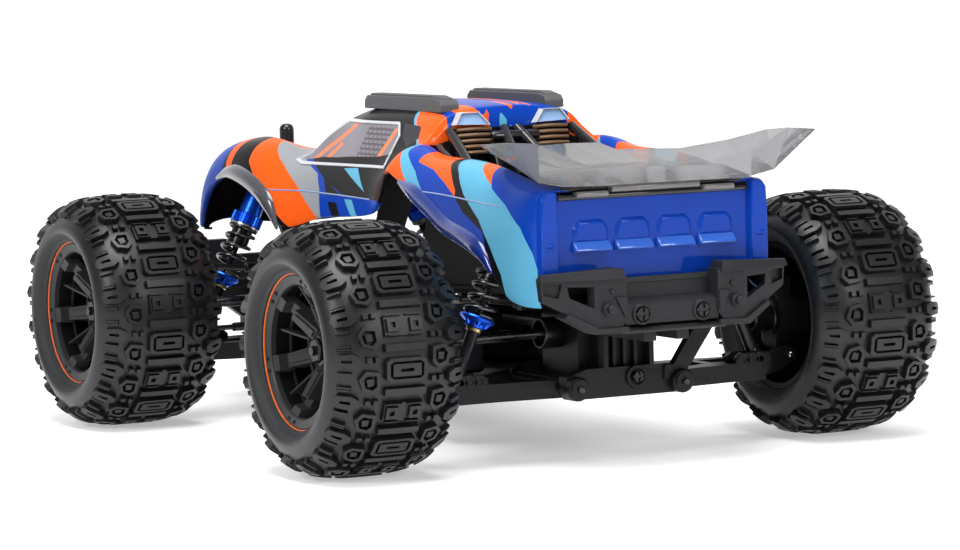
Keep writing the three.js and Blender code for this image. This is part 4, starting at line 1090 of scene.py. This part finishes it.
def build_shock(corner):
    """A coil-over shock: body with cap, collar and cylinder, rod with cup and eye, and the spring."""
    along, across = CORNERS[corner]
    top_y, top_z = SHOCK_TOPS[corner.split("_")[0]]
    top = Vector((along * SHOCK_X, across * top_y, top_z))
    eye = Vector((along * SHOCK_X, across * SHOCK_EYE[0], SHOCK_EYE[1]))
    axis = (eye - top).normalized()
    length = (eye - top).length
    collar_low, collar = COLLAR
    cup, cup_end = SPRING_CUP

    def spun(bm, profile, sides=32, kind="solid", slot=0):
        turned(bm, profile, top, axis, sides, kind, slot)

    def body(bm):
        eye_ring(bm, top, 4.4, 2.5, 1.9)
        spun(bm, [(3.0, 2.6), (4.8, 3.2), (5.6, 4.2), (5.6, 8.6), (5.0, 9.0), (5.0, 9.8), (5.5, 10.2),
                  (5.5, 23.2)])
        knurled(bm, top, axis, 7.6, collar_low - 1, collar, 30)
        spun(bm, [(SHOCK_BORE, collar - 0.2), (7.2, collar - 0.2), (7.2, collar + 0.7), (5.2, collar + 0.9),
                  (SHOCK_BORE, collar + 0.9)], 32, "ring", 2)
        end = SHOCK_BODY_END
        spun(bm, [(SHOCK_BORE, collar - 1), (5.0, collar - 1), (5.0, end - 1.6), (5.3, end - 1.2),
                  (5.3, end - 0.3), (4.6, end), (SHOCK_BORE, end)], 32, "ring", 1)

    def rod(bm):
        spun(bm, [(1.6, SHOCK_BODY_END - 0.9), (1.6, cup)], 18, slot=1)
        spun(bm, [(1.8, cup + 0.2), (7.6, cup), (7.9, cup + 0.7), (7.2, cup + 1.6), (4.6, cup_end - 0.8),
                  (4.2, cup_end + 0.6), (2.6, cup_end + 1)])
        for k in range(6):
            side = Matrix.Rotation(k * math.pi / 3, 4, axis) @ axis.orthogonal().normalized()
            rib = [top + axis * (cup + 1.2) + side * 5.8, top + axis * (cup_end - 0.2) + side * 4.4]
            swept(bm, rib, 1.1, 8)
        spun(bm, [(3.1, cup_end + 0.8), (3.4, cup_end + 1.2), (3.4, cup_end + 2.4), (2.6, cup_end + 2.8)],
             24, slot=2)
        spun(bm, [(2.7, cup_end + 2.4), (2.7, length - 5), (3.1, length - 4)], 24, slot=1)
        eye_ring(bm, eye, 4.2, 2.4, 1.6, 1)

    def coil(bm):
        side = axis.orthogonal().normalized()
        other = axis.cross(side)
        low, high = collar + 1.5, cup - 0.9
        steps = 26
        points = []
        for i in range(int(SPRING_TURNS * steps) + 1):
            turns = i / steps
            share = min(1, max(0, (turns - 0.5) / (SPRING_TURNS - 1)))
            angle = 2 * math.pi * turns
            points.append(top + axis * (low + share * (high - low))
                          + (side * math.cos(angle) + other * math.sin(angle)) * SPRING_RADIUS)
        swept(bm, points, SPRING_WIRE, 10)

    made = shown("shock_" + corner, body, BLUE_ANODISED, SHOCK_BLACK, STEEL,
                 body="shock_body_" + corner, smooth=32, slot="blue_aluminium")
    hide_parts("shock_body_" + corner)
    made = shown("shock_rod_end_" + corner, rod, BLUE_ANODISED, SHOCK_BLACK, BRASS,
                 body="shock_rod_" + corner, smooth=32, slot="steel")
    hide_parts("shock_rod_" + corner)
    made = shown("spring_coil_" + corner, coil, SPRING_STEEL, body="shock_body_" + corner, smooth=60,
                 slot="black_steel")
    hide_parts("spring_" + corner)
    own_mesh(made)


LINK_X = 112
LINK_INNER = (30, 69)
LINK_OUTER = (90, 75)
SHAFT_INNER, SHAFT_OUTER = 24, 83  # y of a drive shaft's two cross pins
INNER_PIN = (26, 33)  # y and z of the lower arms' hinge pins
OUTER_PIN = (94, 38)


def build_camber_link(corner):
    along, across = CORNERS[corner]
    inner, outer = (Vector((along * LINK_X, across * y, z)) for y, z in (LINK_INNER, LINK_OUTER))
    axis = (outer - inner).normalized()
    length = (outer - inner).length

    def camber(bm):
        for end in (inner, outer):
            eye_ring(bm, end, 4.1, 2.4, 1.7)
        for start, way in ((inner, axis), (outer, -axis)):
            turned(bm, [(2.6, 3), (2.4, 10), (2.1, 15), (1.4, 15.2)], start, way, 20)
        rod = [(1.3, 12), (1.3, 24), (2.3, 24.4), (2.3, 30), (1.3, 30.4), (1.3, length - 12)]
        turned(bm, rod, inner, axis, 18, slot=1)
    made = shown("camber_turnbuckle_" + corner, camber, NYLON, SCREW_BLACK,
                 body="camber_link_" + corner, bevel=0.2, slot="black_steel")
    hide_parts("camber_link_" + corner)


def build_drive_shaft(corner):
    """The drive shaft with a cross pin at each end, the cups that take the pins, and the hub's bearing."""
    along, across = CORNERS[corner]

    def shaft(bm):
        profile = [(0.5, -3.4), (2.4, -2.6), (3.4, -1), (3.4, 1), (2.6, 2.8), (2.2, 6), (2.2, 16), (2.5, 17),
                   (2.5, 43), (1.8, 45), (1.8, 56.4), (2.9, 57.6), (3.2, 59), (2.9, 60.4), (2.0, 61.4),
                   (0.5, 61.8)]
        turned(bm, profile, (along * AXLE_X, across * SHAFT_INNER, AXLE_Z), (0, across, 0), 24)
        for y in (SHAFT_INNER, SHAFT_OUTER):
            pin = [(0.9, -4.3), (1.1, -4.0), (1.1, 4.0), (0.9, 4.3)]
            turned(bm, pin, (along * AXLE_X, across * y, AXLE_Z), (1, 0, 0), 14)
    made = shown("dogbone_" + corner, shaft, SHAFT_STEEL, body="drive_shaft_" + corner, smooth=30,
                 slot="steel")
    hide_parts("drive_shaft_" + corner)

    def cup(y, way, seat):
        def build(bm):
            profile = [(3.2, seat), (6.6, seat), (6.9, seat + 0.6), (6.9, 10.4), (6.5, 11), (5.9, 11),
                       (5.9, seat + 4), (3.2, seat + 4)]
            turned(bm, profile, (along * AXLE_X, across * y, AXLE_Z), (0, across * way, 0), 28, "ring")
        return build

    def bearing(bm):
        turned(bm, [(7.4, -0.8), (8.8, -0.8), (9.1, -0.5), (9.1, 0.2), (7.4, 0.2)],
               (along * AXLE_X, across * 88.6, AXLE_Z), (0, across, 0), 32, "ring")
    carrier = "carrier_" + corner
    for name, shape, finish, body, slot in (
        ("inner_cup_", cup(16.5, 1, 1), SCREW_BLACK, "chassis", "black_steel"),
        ("outer_cup_", cup(90, -1, -4), SCREW_BLACK, carrier, "black_steel"),
        ("hub_bearing_", bearing, SHAFT_STEEL, carrier, "steel"),
    ):
        shown(name + corner, shape, finish, body=body, smooth=30, slot=slot)


def build_hinge_pins(corner):
    along, across = CORNERS[corner]
    for name, profile, (y, z), finish, body in (
        ("inner_hinge_pin_", [(1.0, 100), (1.5, 100.5), (1.5, 159.7), (1.0, 160.2)], INNER_PIN, SHAFT_STEEL,
         "chassis"),
        ("outer_hinge_pin_", [(1.9, 110.6), (2.1, 111), (2.1, 112.8), (1.4, 112.8), (1.4, 136), (1.0, 136.5)],
         OUTER_PIN, STEEL, "arm_" + corner),
    ):
        def pin(bm):
            turned(bm, profile, (0, across * y, z), (along, 0, 0), 16)
        shown(name + corner, pin, finish, body=body, smooth=30, slot="steel")


TIE_ROD_X = 104
TIE_ROD_Z = 44.5
TIE_ROD_ENDS = (35, 102)


def build_tie_rods():
    for side, across in (("left", 1), ("right", -1)):
        def rod(bm):
            end = [(1.5, -2.4), (2.9, -2.4), (3.1, -1.9), (3.1, 1.9), (2.9, 2.4), (1.5, 2.4)]
            for y in TIE_ROD_ENDS:
                turned(bm, end, (TIE_ROD_X, across * y, TIE_ROD_Z), (0, 0, 1), 24, "ring")
            shaft = [(2.2, 2.4), (2.0, 11), (1.3, 11.4), (1.3, 30), (2.1, 30.4), (2.1, 36), (1.3, 36.4),
                     (1.3, 55.6), (2.0, 56), (2.2, 64.6)]
            turned(bm, shaft, (TIE_ROD_X, across * TIE_ROD_ENDS[0], TIE_ROD_Z), (0, across, 0), 18)
        made = shown("tie_turnbuckle_" + side, rod, SCREW_BLACK, body="tie_rod_" + side, smooth=32,
                     slot="black_steel")
        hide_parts("tie_rod_" + side)


def build_drive_line():
    """The shaft between the gearboxes, and the motor."""
    def shaft(bm):
        profile = [(3.0, -108), (3.0, -92), (4.6, -91), (4.6, -84), (2.9, -83), (2.9, -48), (3.4, -47),
                   (3.4, -36), (2.9, -35), (2.9, 83), (4.6, 84), (4.6, 91), (3.0, 92), (3.0, 108)]
        turned(bm, profile, (0, 0, AXLE_Z), (1, 0, 0), 24)
    made = shown("centre_drive_shaft", shaft, STEEL, body="centre_shaft", smooth=30, slot="steel")
    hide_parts("centre_shaft")
    middle = centre_mm("motor")

    def motor(bm):
        profile = [(3.5, -97), (12.4, -97), (14, -95.6), (14, -90), (13.5, -89.4), (13.5, -88.6), (14, -88),
                   (14, -54), (13.6, -53.4), (13.6, -52.4), (14, -52), (14, -49.4), (13, -48), (5, -48),
                   (5, -46), (1.6, -46), (1.6, -36.4), (1.2, -36)]
        turned(bm, profile, (0, middle.y, middle.z), (1, 0, 0), 40)
        for y, z in circle(8.6, 8):
            screw(bm, (-96.6, middle.y + y, middle.z + z), (-1, 0, 0), 1.4, slot=1)
    made = shown("motor_can", motor, MOTOR_CAN, SCREW_BLACK, smooth=32, slot="motor_can")
    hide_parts("motor")


# ---------------------------------------------------------------- rear bumper and gearbox details
BUMPER_FACE = -194.2  # x of the rear bumper's outermost face
BUMPER_CORNER = 34  # y where that face starts to sweep forwards
FRONT_FACE = 196  # x of the front bumper's face
BUMPER_SCREW = (14.8, 67.4)  # y and z


def rear_bumper(bm):
    """Two swept wings with their shelves, windows and recesses, joined by a middle ledge with two bosses."""
    def face(y):
        return BUMPER_FACE + max(0.0, abs(y) - BUMPER_CORNER) * 0.28

    def place(y, z, h):
        return (face(y) - h, y, z)

    def recessed(y, z, h):
        return (-186.0 - h, y, z)

    for side in (1, -1):
        def mirror(points):
            return mirrored(points, side)
        inner_end = [(22.4, 66), (25, 62.4), (36, 62.4), (36, 84.6), (22.4, 84.6)]
        plate(bm, mirror(inner_end), [], -9.4, 0, place)
        wing = [(36, 62.4), (48.6, 69), (59.2, 74.8), (60.2, 84.6), (36, 84.6)]
        hole = [(37.4, 80.2), (48.6, 80.6), (47.8, 76.0), (37.4, 71)]
        recess = [(52.4, 76.0), (58.6, 77.6), (58.8, 82.2), (50.8, 82.0)]
        plate(bm, mirror(wing), [mirror(hole)[::-1], mirror(recess)[::-1]], -3.6, 0, place)
        plate(bm, mirror([(49.6, 75), (59, 76), (59.4, 83.4), (49.6, 83.4)]), [], -3.8, -2.2, place)
        top = [(BUMPER_FACE - 1.8, 23.6), (BUMPER_FACE - 1.8, 34.4), (BUMPER_FACE + 5.4, 60.6),
               (BUMPER_FACE + 9.4, 61.0), (BUMPER_FACE + 9.8, 23.6)]
        outline = [(x, side * y) for x, y in (top if side < 0 else top[::-1])]

        def shelf(x, y, h):
            return (x, y, 83.2 + h * (1 - max(0, abs(y) - BUMPER_CORNER) * 0.012))
        prism(bm, outline, 0, 4.4, shelf, 0.9)
        lower = [(22.4, 60.8), (25, 60.2), (38, 60.2), (50.4, 67.4), (49.0, 69.4), (36, 62.6), (22.4, 62.8)]
        plate(bm, mirror(lower), [], -8, 1.5, place)
        peg = [(2.8, -0.4), (2.8, 1.2), (2.1, 1.6), (2.1, 4.4), (1.6, 5.0)]
        turned(bm, peg, (BUMPER_FACE, side * 31.4, 70.6), (-1, 0, 0), 24)
        dot = [(1.1, -0.2), (1.1, 0.5), (0.8, 0.8)]
        turned(bm, dot, (BUMPER_FACE, side * 29.4, 78), (-1, 0, 0), 18)
        rib = [(22.6, 75.4), (28.0, 75.4), (23.8, 67.0), (22.6, 67.0)]
        plate(bm, mirror(rib), [], -5, 1.0, place)
    plate(bm, [(-23, 71.6), (23, 71.6), (23, 81.6), (-23, 81.6)], [], -4, 0, recessed)
    plate(bm, [(-23, 80.4), (23, 80.4), (23, 82.6), (-23, 82.6)], [], -4, 1.0, recessed)
    ledge = [(-186, 74.0), (-191.6, 72.2), (-193.2, 70.8), (-193.2, 63.2), (-184, 61.4), (-181, 63),
             (-181, 74.0)]
    prism(bm, ledge, -23, 23, across_y)
    lip = [(-192.6, 62.0), (-195.4, 60.6), (-194.6, 59.6), (-183, 58.4), (-181, 60.4), (-183, 63)]
    prism(bm, lip, -25.4, 25.4, across_y)
    for side in (1, -1):
        boss = [(3.4, 0), (4.7, 0), (4.7, 0.9), (4.2, 1.3), (3.6, 1.3), (3.4, 0.9)]
        turned(bm, boss, (-193, side * BUMPER_SCREW[0], BUMPER_SCREW[1]), (-1, 0, 0), 32, "ring")
        block(bm, (-188, -141.4), (side * 8 - 3, side * 8 + 3), (55, 62))
    block(bm, (-168, -141.4), (-8, 8), (57, 61))


def build_front_bumper_details():
    """Raised frames, ribs and screws on the front bumper's face, over and under its blade."""
    def place(y, z, h):
        return (FRONT_FACE + h, y, z)

    def frames(bm):
        for side in (1, -1):
            def mirror(points):
                return mirrored(points, side)
            upper = [(34.4, 62), (46.8, 66), (47.6, 78), (35.6, 78)]
            hollow = [(37, 64.8), (44.6, 67.6), (45.2, 75.8), (37.8, 75.8)]
            plate(bm, mirror(upper), [mirror(hollow)[::-1]], -0.5, 1.5, place)
            lower = [(7, 42), (26.4, 42), (39, 51.2), (39, 54.4), (7, 54.4)]
            hollow = [(9, 44), (25.8, 44), (35.6, 51.2), (35.6, 52.4), (9, 52.4)]
            plate(bm, mirror(lower), [mirror(hollow)[::-1]], -0.5, 1.5, place)
            plate(bm, mirror([(22, 61), (24.6, 61), (24.6, 70.6), (22, 70.6)]), [], -0.5, 1.5, place)
            boss = [(4.2, -0.4), (4.2, 0.9), (3.6, 1.4), (3.0, 1.4)]
            turned(bm, boss, (FRONT_FACE, side * 14, 65.6), (1, 0, 0), 32)
            screw(bm, (FRONT_FACE + 1.2, side * 14, 65.6), (1, 0, 0), 2.6, slot=1)
    shown("front_bumper_frames", frames, BUMPER_PLASTIC, SCREW_BLACK, bevel=0.3, slot="textured_plastic")


def build_bumper():
    made = shown("rear_bumper_moulding", rear_bumper, BUMPER_PLASTIC, bevel=0.45, smooth=35,
                 slot="textured_plastic")
    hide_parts("rear_bumper")

    def screws(bm):
        for side in (1, -1):
            cross_screw(bm, (-193.4, side * BUMPER_SCREW[0], BUMPER_SCREW[1]), (-1, 0, 0), 3.2)
        cross_screw(bm, (-154.6, -4.4, 36.3), (-1, 0, 0), 2.6)
    shown("bumper_screws", screws, SCREW_BLACK, smooth=30, slot="black_steel")


def cross_screw(bm, origin, direction, radius):
    """A pan head with a cross-shaped recess: four raised quarters round a sunken cross."""
    turn = towards(direction)
    origin = Vector(origin)

    def place(a, b, h):
        return origin + turn @ Vector((a, b, h))
    turned(bm, [(radius * 0.98, -1), (radius, 0), (radius * 0.94, 0.35)], origin, direction, 28)
    groove = radius * 0.15  # half the width of the cross's arms
    reach = radius * 0.62
    rim = radius * 0.93
    first = math.asin(groove / rim)
    step = (math.pi / 2 - 2 * first) / 6
    arc = [(rim * math.cos(first + i * step), rim * math.sin(first + i * step)) for i in range(7)]
    quarter = [(groove + 0.2, groove + 0.2), (reach, groove), *arc, (groove, reach)]
    for k in range(4):
        c, sn = math.cos(k * math.pi / 2), math.sin(k * math.pi / 2)
        points = [(x * c - y * sn, x * sn + y * c) for x, y in quarter]
        prism(bm, points, 0.3, 1.25, place, draft=0.12)


def build_gearbox_details():
    """Walls, ribs, brace and bosses behind the rear gearbox, and the ears that hold the arms' outer pins."""
    def build(bm):
        for wall in ((9.0, 11.4), (-13.6, -11.2)):
            block(bm, (-153.2, -140), wall, (39, 60.6))
        block(bm, (-147.6, -140), (-12, 10), (40, 59.4))
        for y in (4.6, -0.6, -6):
            block(bm, (-150.4, -147), (y - 0.9, y + 0.9), (40, 59.8))
        brace = [(-21.6, 39.4), (-30.2, 38.6), (-44.8, 58.4), (-44, 61.2), (-36.6, 61.2)]
        plate(bm, brace[::-1], [], -150.4, -154.6, across_x)
        block(bm, (-184, -150), (-44.6, -36.8), (58.8, 61.2))
        block(bm, (-154.4, -145.4), (-30, -18), (34, 40.4))
        for y in (26, -26):
            boss = [(4.9, 150.4), (5.3, 151), (5.3, 156.6), (4.6, 157.4), (2.0, 157.4)]
            turned(bm, boss, (0, y, INNER_PIN[1]), (-1, 0, 0), 32)
        collar = [(3.4, 152.6), (5.0, 152.6), (5.2, 153.2), (5.2, 154.4), (3.4, 154.4)]
        turned(bm, collar, (0, -4.4, 36.3), (-1, 0, 0), 28, "ring")
    shown("rear_gearbox_ribs", build, NYLON, bevel=0.4, smooth=35, slot="black_plastic")

    def ears(bm, across):
        for y in (65.8, 70.4, 75):
            profile = [(1.25, 138.6), (3.0, 138.6), (3.3, 139), (3.3, 141.4), (3.0, 141.8), (1.25, 141.8)]
            turned(bm, profile, (0, across * y, 38), (-1, 0, 0), 24, "ring")
        block(bm, (-141.4, -138.8), tuple(sorted((across * 62.6, across * 78.2))), (31, 36.4))
    for side, across in (("left", 1), ("right", -1)):
        shown("arm_ears_rear_" + side, lambda bm: ears(bm, across), NYLON, body="arm_rear_" + side, bevel=0.2,
              slot="black_plastic")


# ---------------------------------------------------------------- body details
def skid(across):
    def build(bm):
        def place(x, z, h):
            return (x, across * (22.2 + h), z)
        profile = [(34.6, 149.4), (34.2, 153.4), (31.4, 155.6), (-36, 155.8), (-42, 154.8), (-43.8, 152.6),
                   (-43.8, 149.2)]
        prism(bm, profile, 0, 9.4, place)
        prism(bm, [(33, 155), (30, 156.5), (-35, 156.7), (-40, 155.8), (-41, 155)], 1.6, 7.8, place)
    return build


def build_roof():
    for side, across in (("left", 1), ("right", -1)):
        made = shown("roof_rail_" + side, skid(across), SKID_GREY, body="body", bevel=0.6, smooth=30,
                     slot="black_plastic")
        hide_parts("roof_skid_" + side)


CAB_TUBES = (  # on each side: front end, rear end, radius
    ((-50.6, 3.4, 141.2), (-79, 9.2, 121.2), 2.5),
    ((-50.8, 9.8, 139.5), (-60, 10.6, 121.5), 1.4),
    ((-51.2, 31, 141), (-84, 36, 123.6), 2.3),
    ((-52.6, 37.4, 134.6), (-80, 40, 124.6), 1.6),
    ((-60, 31.6, 134.6), (-60.4, 33, 121.5), 1.5),
)


def build_cab_rear():
    """Scoops, louvres and buttress tubes behind the cab."""
    def scoops(bm):
        def place(y, z, h):
            return (-48.6 - h - (149.4 - z) * 0.3, y, z)
        outline = [(26.0, 149.4), (16.0, 149.4), (10.6, 143.0), (30.0, 143.6)]
        middle = sum((Vector(p) for p in outline), Vector((0, 0))) / 4
        opening = [tuple(middle + (Vector(p) - middle) * 0.84) for p in outline]
        for side in (1, -1):
            outer, inner = mirrored(outline, side), mirrored(opening, side)
            # each scoop's raised rim (slot 1) is light grey, painted reflection along its edge
            prism(bm, outer, 0, 3.4, place, 0.4, slot=1, hole=inner)
            plate(bm, inner, [], 0.8, 2.2, place)
    shown("cab_scoops", scoops, SCOOP_BLUE, RIM_REFLECTION_GREY, body="body", bevel=0.25, slot="body_paint")

    def louvres(bm):
        for side in (1, -1):
            for k in range(5):
                inner, outer = (Vector((-52.2 - 0.5 * k, side * y, 141.4 - 2.6 * k)) for y in (10.8, 28.2))
                bowed = (inner + outer) / 2 + Vector((-0.8, 0, 0.3))
                swept(bm, smooth_path([inner, bowed, outer], 5), 0.95, 10)
    shown("cab_louvres", louvres, BRONZE, body="body", smooth=60, slot="body_paint")

    def tubes(bm):
        for side in (1, -1):
            for *ends, radius in CAB_TUBES:
                swept(bm, [(x, side * y, z) for x, y, z in ends], radius, 12)
        turned(bm, [(2.2, -12), (2.6, -11), (2.6, 11), (2.2, 12)], (-54.5, 0, 138), (0, 1, 0), 20)
    shown("cab_buttresses", tubes, GLOSS_BLACK, body="body", smooth=50, slot="body_paint")


def body_surface():
    """A lookup of the finished body: side, x and z give the point and its outward direction."""
    bpy.context.view_layer.update()
    graph = bpy.context.evaluated_depsgraph_get()
    tree = BVHTree.FromObject(bpy.data.objects["painted_body"], graph)

    def on_side(side, x, z, h):
        start = Vector((x, side * 120, z)) * MM
        point, normal, _, _ = tree.ray_cast(start, Vector((0, -side, 0)))
        if normal.y * side < 0:
            normal = -normal
        return point / MM + normal * h

    return on_side


def stepped(outline, steps=8):
    """The same closed outline with every edge cut into steps."""
    made = []
    for a, b in zip(outline, outline[1:] + outline[:1]):
        made += [tuple(Vector(a).lerp(Vector(b), i / steps)) for i in range(steps)]
    return made


FRAME_WIDTH = 1.3
CREASE_LINES = (  # (x, z) points that a crease runs through, on the doors and on the tail
    ((86, 110.6), (50, 110.4), (-8, 109.6)),
    ((-62, 117), (-100, 116.6), (-152, 113.6)),
)


def build_windows():
    """Raised frames round the cab's side windows, and the crease lines along the doors and tail. The creases
    are thin beads whose light blue is painted highlight along each crease.
    """
    on_side = body_surface()

    def frames(bm):
        for side in (1, -1):
            outline = anticlockwise(SIDE_WINDOW)
            ring, inner = stepped(outline), stepped(inset(outline, FRAME_WIDTH))
            if side < 0:
                ring, inner = ring[::-1], inner[::-1]
            prism(bm, ring, -0.5, 0.5, lambda x, z, h: on_side(side, x, z, h), hole=inner)
    # The frames are light grey: painted reflection of white along their edges.
    shown("window_frames", frames, RIM_REFLECTION_GREY, body="body", bevel=0.2, slot="body_paint")

    def creases(bm):
        for side in (1, -1):
            for line in CREASE_LINES:
                path = smooth_path([(x, z, 0) for x, z in line], 14)
                swept(bm, [on_side(side, p.x, p.y, -0.15) for p in path], 0.4, 8)
    shown("body_creases", creases, CREASE_HIGHLIGHT_BLUE, body="body", smooth=60, slot="body_paint")


def build_guard_shade_sheets():
    """Dark sheets inside the body, between the wheel arches and the middle of the chassis. They give the
    black seen inside the body behind the wheels, and that black is in part painted shade.
    """
    def guards(bm):
        for side in (1, -1):
            def place(x, z, h):
                return (x, side * (24 + h), z)
            prism(bm, [(-132, 70), (-14, 66), (-8, 72), (-14, 108), (-50, 118), (-132, 118)], 0, 1.2, place)
            prism(bm, [(-130, 72), (-14, 68), (-16, 70.4), (-130, 74.4)], 1.2, 3.4, place, 0.4)
    shown("guard_shade_sheets", guards, INSIDE_BLACK, body="body", bevel=0.3, slot="body_paint")


POST_X = 142
POST_Y = 22


def build_body_posts():
    """Caps on the four body posts, and the bent wire clips through them."""
    posts = [(along, (along * POST_X, side * POST_Y)) for along in (1, -1) for side in (1, -1)]

    def caps(bm):
        for along, (x, y) in posts:
            top = 136.6 if along > 0 else 126.6
            cap = [(3.6, -9.4), (3.6, -0.8), (3.3, 0.5), (2.6, 1.4), (1.5, 1.9), (0.3, 2)]
            turned(bm, cap, (x, y, top), (0, 0, 1), 24)
            washer = [(3.0, -13), (5.0, -12.6), (5.0, -11.6), (3.0, -11.4)]
            turned(bm, washer, (x, y, top), (0, 0, 1), 24, "ring")
    shown("body_post_caps", caps, GLOSS_BLACK, smooth=32, slot="black_plastic")

    def clips(bm):
        wire = [(11, 2.6, 0), (2, 3.4, 0), (-3.4, 2.4, 0), (-4.4, 0, 0), (-3.4, -2.4, 0), (2, -3.3, 0),
                (5, -2.2, 0.4), (8, -3.4, 0.4)]
        for along, (x, y) in posts:
            z = 125.9 if along > 0 else 123.0
            swept(bm, smooth_path([(x + a, y + b, z + c) for a, b, c in wire], 4), 0.6, 8)
    shown("body_clips", clips, STEEL, body="body", smooth=60, slot="steel")


build_moulded()
for corner_name in CORNERS:
    build_shock(corner_name)
    build_camber_link(corner_name)
    build_drive_shaft(corner_name)
    build_hinge_pins(corner_name)
build_tie_rods()
build_drive_line()
build_bumper()
build_front_bumper_details()
build_gearbox_details()
build_roof()
build_cab_rear()
build_windows()
build_guard_shade_sheets()
build_body_posts()

# ---------------------------------------------------------------- light, floor and camera
GLOW_REACH = (0.5, 2.5)  # metres from the truck between which the floor's own light grows
FLOOR_GLOW = (0.40, 0.75)  # the studio floor gives some light of its own: near the truck, and far from it
WORLD_BEHIND = 1.1  # brightness of the studio behind the truck, as the main camera looks
WORLD_AROUND = 0.26
WORLD_DIRECTION = (0.888, -0.46, 0.0)  # from the main camera towards the truck, level
LIT_POINT = Vector((0, 0, 0.07))
CAMERA_TURN = (242.577, 4.74, -1.572)  # azimuth, elevation and roll in degrees
CAMERA_TARGET = Vector((-0.01694, 0, 0.07233))
CAMERA_DISTANCE = 1.98935
CAMERA_LENS = 161.88


def build_floor():
    def sheet(bm):
        bmesh.ops.create_grid(bm, x_segments=2, y_segments=2, size=9.0)
    floor = placed("floor", mesh_of(sheet))
    paper, tree, shader = material("pale_floor", (0.86, 0.86, 0.87), 0.95, Specular_IOR_Level=0.0)
    shader.inputs["Emission Color"].default_value = (1, 1, 1, 1)
    away = node(tree, "VectorMath", {0: object_coordinates(tree)}, operation="LENGTH").outputs["Value"]
    glow = node(tree, "MapRange", {"Value": away, "From Min": GLOW_REACH[0], "From Max": GLOW_REACH[1],
                                   "To Min": FLOOR_GLOW[0], "To Max": FLOOR_GLOW[1]}).outputs["Result"]
    tree.links.new(glow, shader.inputs["Emission Strength"])
    floor.data.materials.append(paper)


def build_world():
    """White behind the truck and grey round it, so that dark pieces stay dark."""
    world = bpy.data.worlds.new("studio")
    world.use_nodes = True
    tree = world.node_tree
    direction = node(tree, "TexCoord").outputs["Generated"]
    facing = node(tree, "VectorMath", {0: direction}, operation="DOT_PRODUCT")
    facing.inputs[1].default_value = WORLD_DIRECTION
    bright = node(tree, "MapRange", {"Value": facing.outputs["Value"], "From Min": 0.2, "From Max": 0.72,
                                     "To Min": WORLD_AROUND, "To Max": WORLD_BEHIND}).outputs["Result"]
    tree.links.new(bright, tree.nodes["Background"].inputs["Color"])
    bpy.context.scene.world = world


def build_stage():
    build_floor()
    build_world()
    lights = {  # name: (place in metres, size, watts)
        "softbox_above": ((-0.35, 0.25, 1.4), 0.9, 24),
        "softbox_left": ((-0.7, 1.5, 1.0), 0.5, 13),
        "softbox_behind": ((-1.8, -0.5, 0.9), 0.5, 9),
    }
    for name, (place, size, power) in lights.items():
        lamp = bpy.data.lights.new(name, "AREA")
        lamp.shape = "SQUARE"
        lamp.size = size
        lamp.energy = power
        made = placed(name, lamp)
        made.location = place
        made.rotation_mode = "QUATERNION"
        made.rotation_quaternion = (LIT_POINT - Vector(place)).to_track_quat("-Z", "Y")
    bpy.context.scene.view_settings.view_transform = "Standard"


def build_camera():
    """Behind the truck and to its left, a little above the tyres' tops."""
    azimuth, elevation, roll = (math.radians(angle) for angle in CAMERA_TURN)
    back = Vector((math.sin(azimuth) * math.cos(elevation), -math.cos(azimuth) * math.cos(elevation),
                   math.sin(elevation)))
    camera = bpy.data.cameras.new("camera")
    camera.lens = CAMERA_LENS
    camera.sensor_width = 36
    made = placed("camera", camera)
    turn = (-back).to_track_quat("-Z", "Y").to_matrix().to_4x4() @ Matrix.Rotation(roll, 4, "Z")
    made.matrix_world = Matrix.Translation(CAMERA_TARGET + back * CAMERA_DISTANCE) @ turn
    bpy.context.scene.camera = made


build_stage()
build_camera()
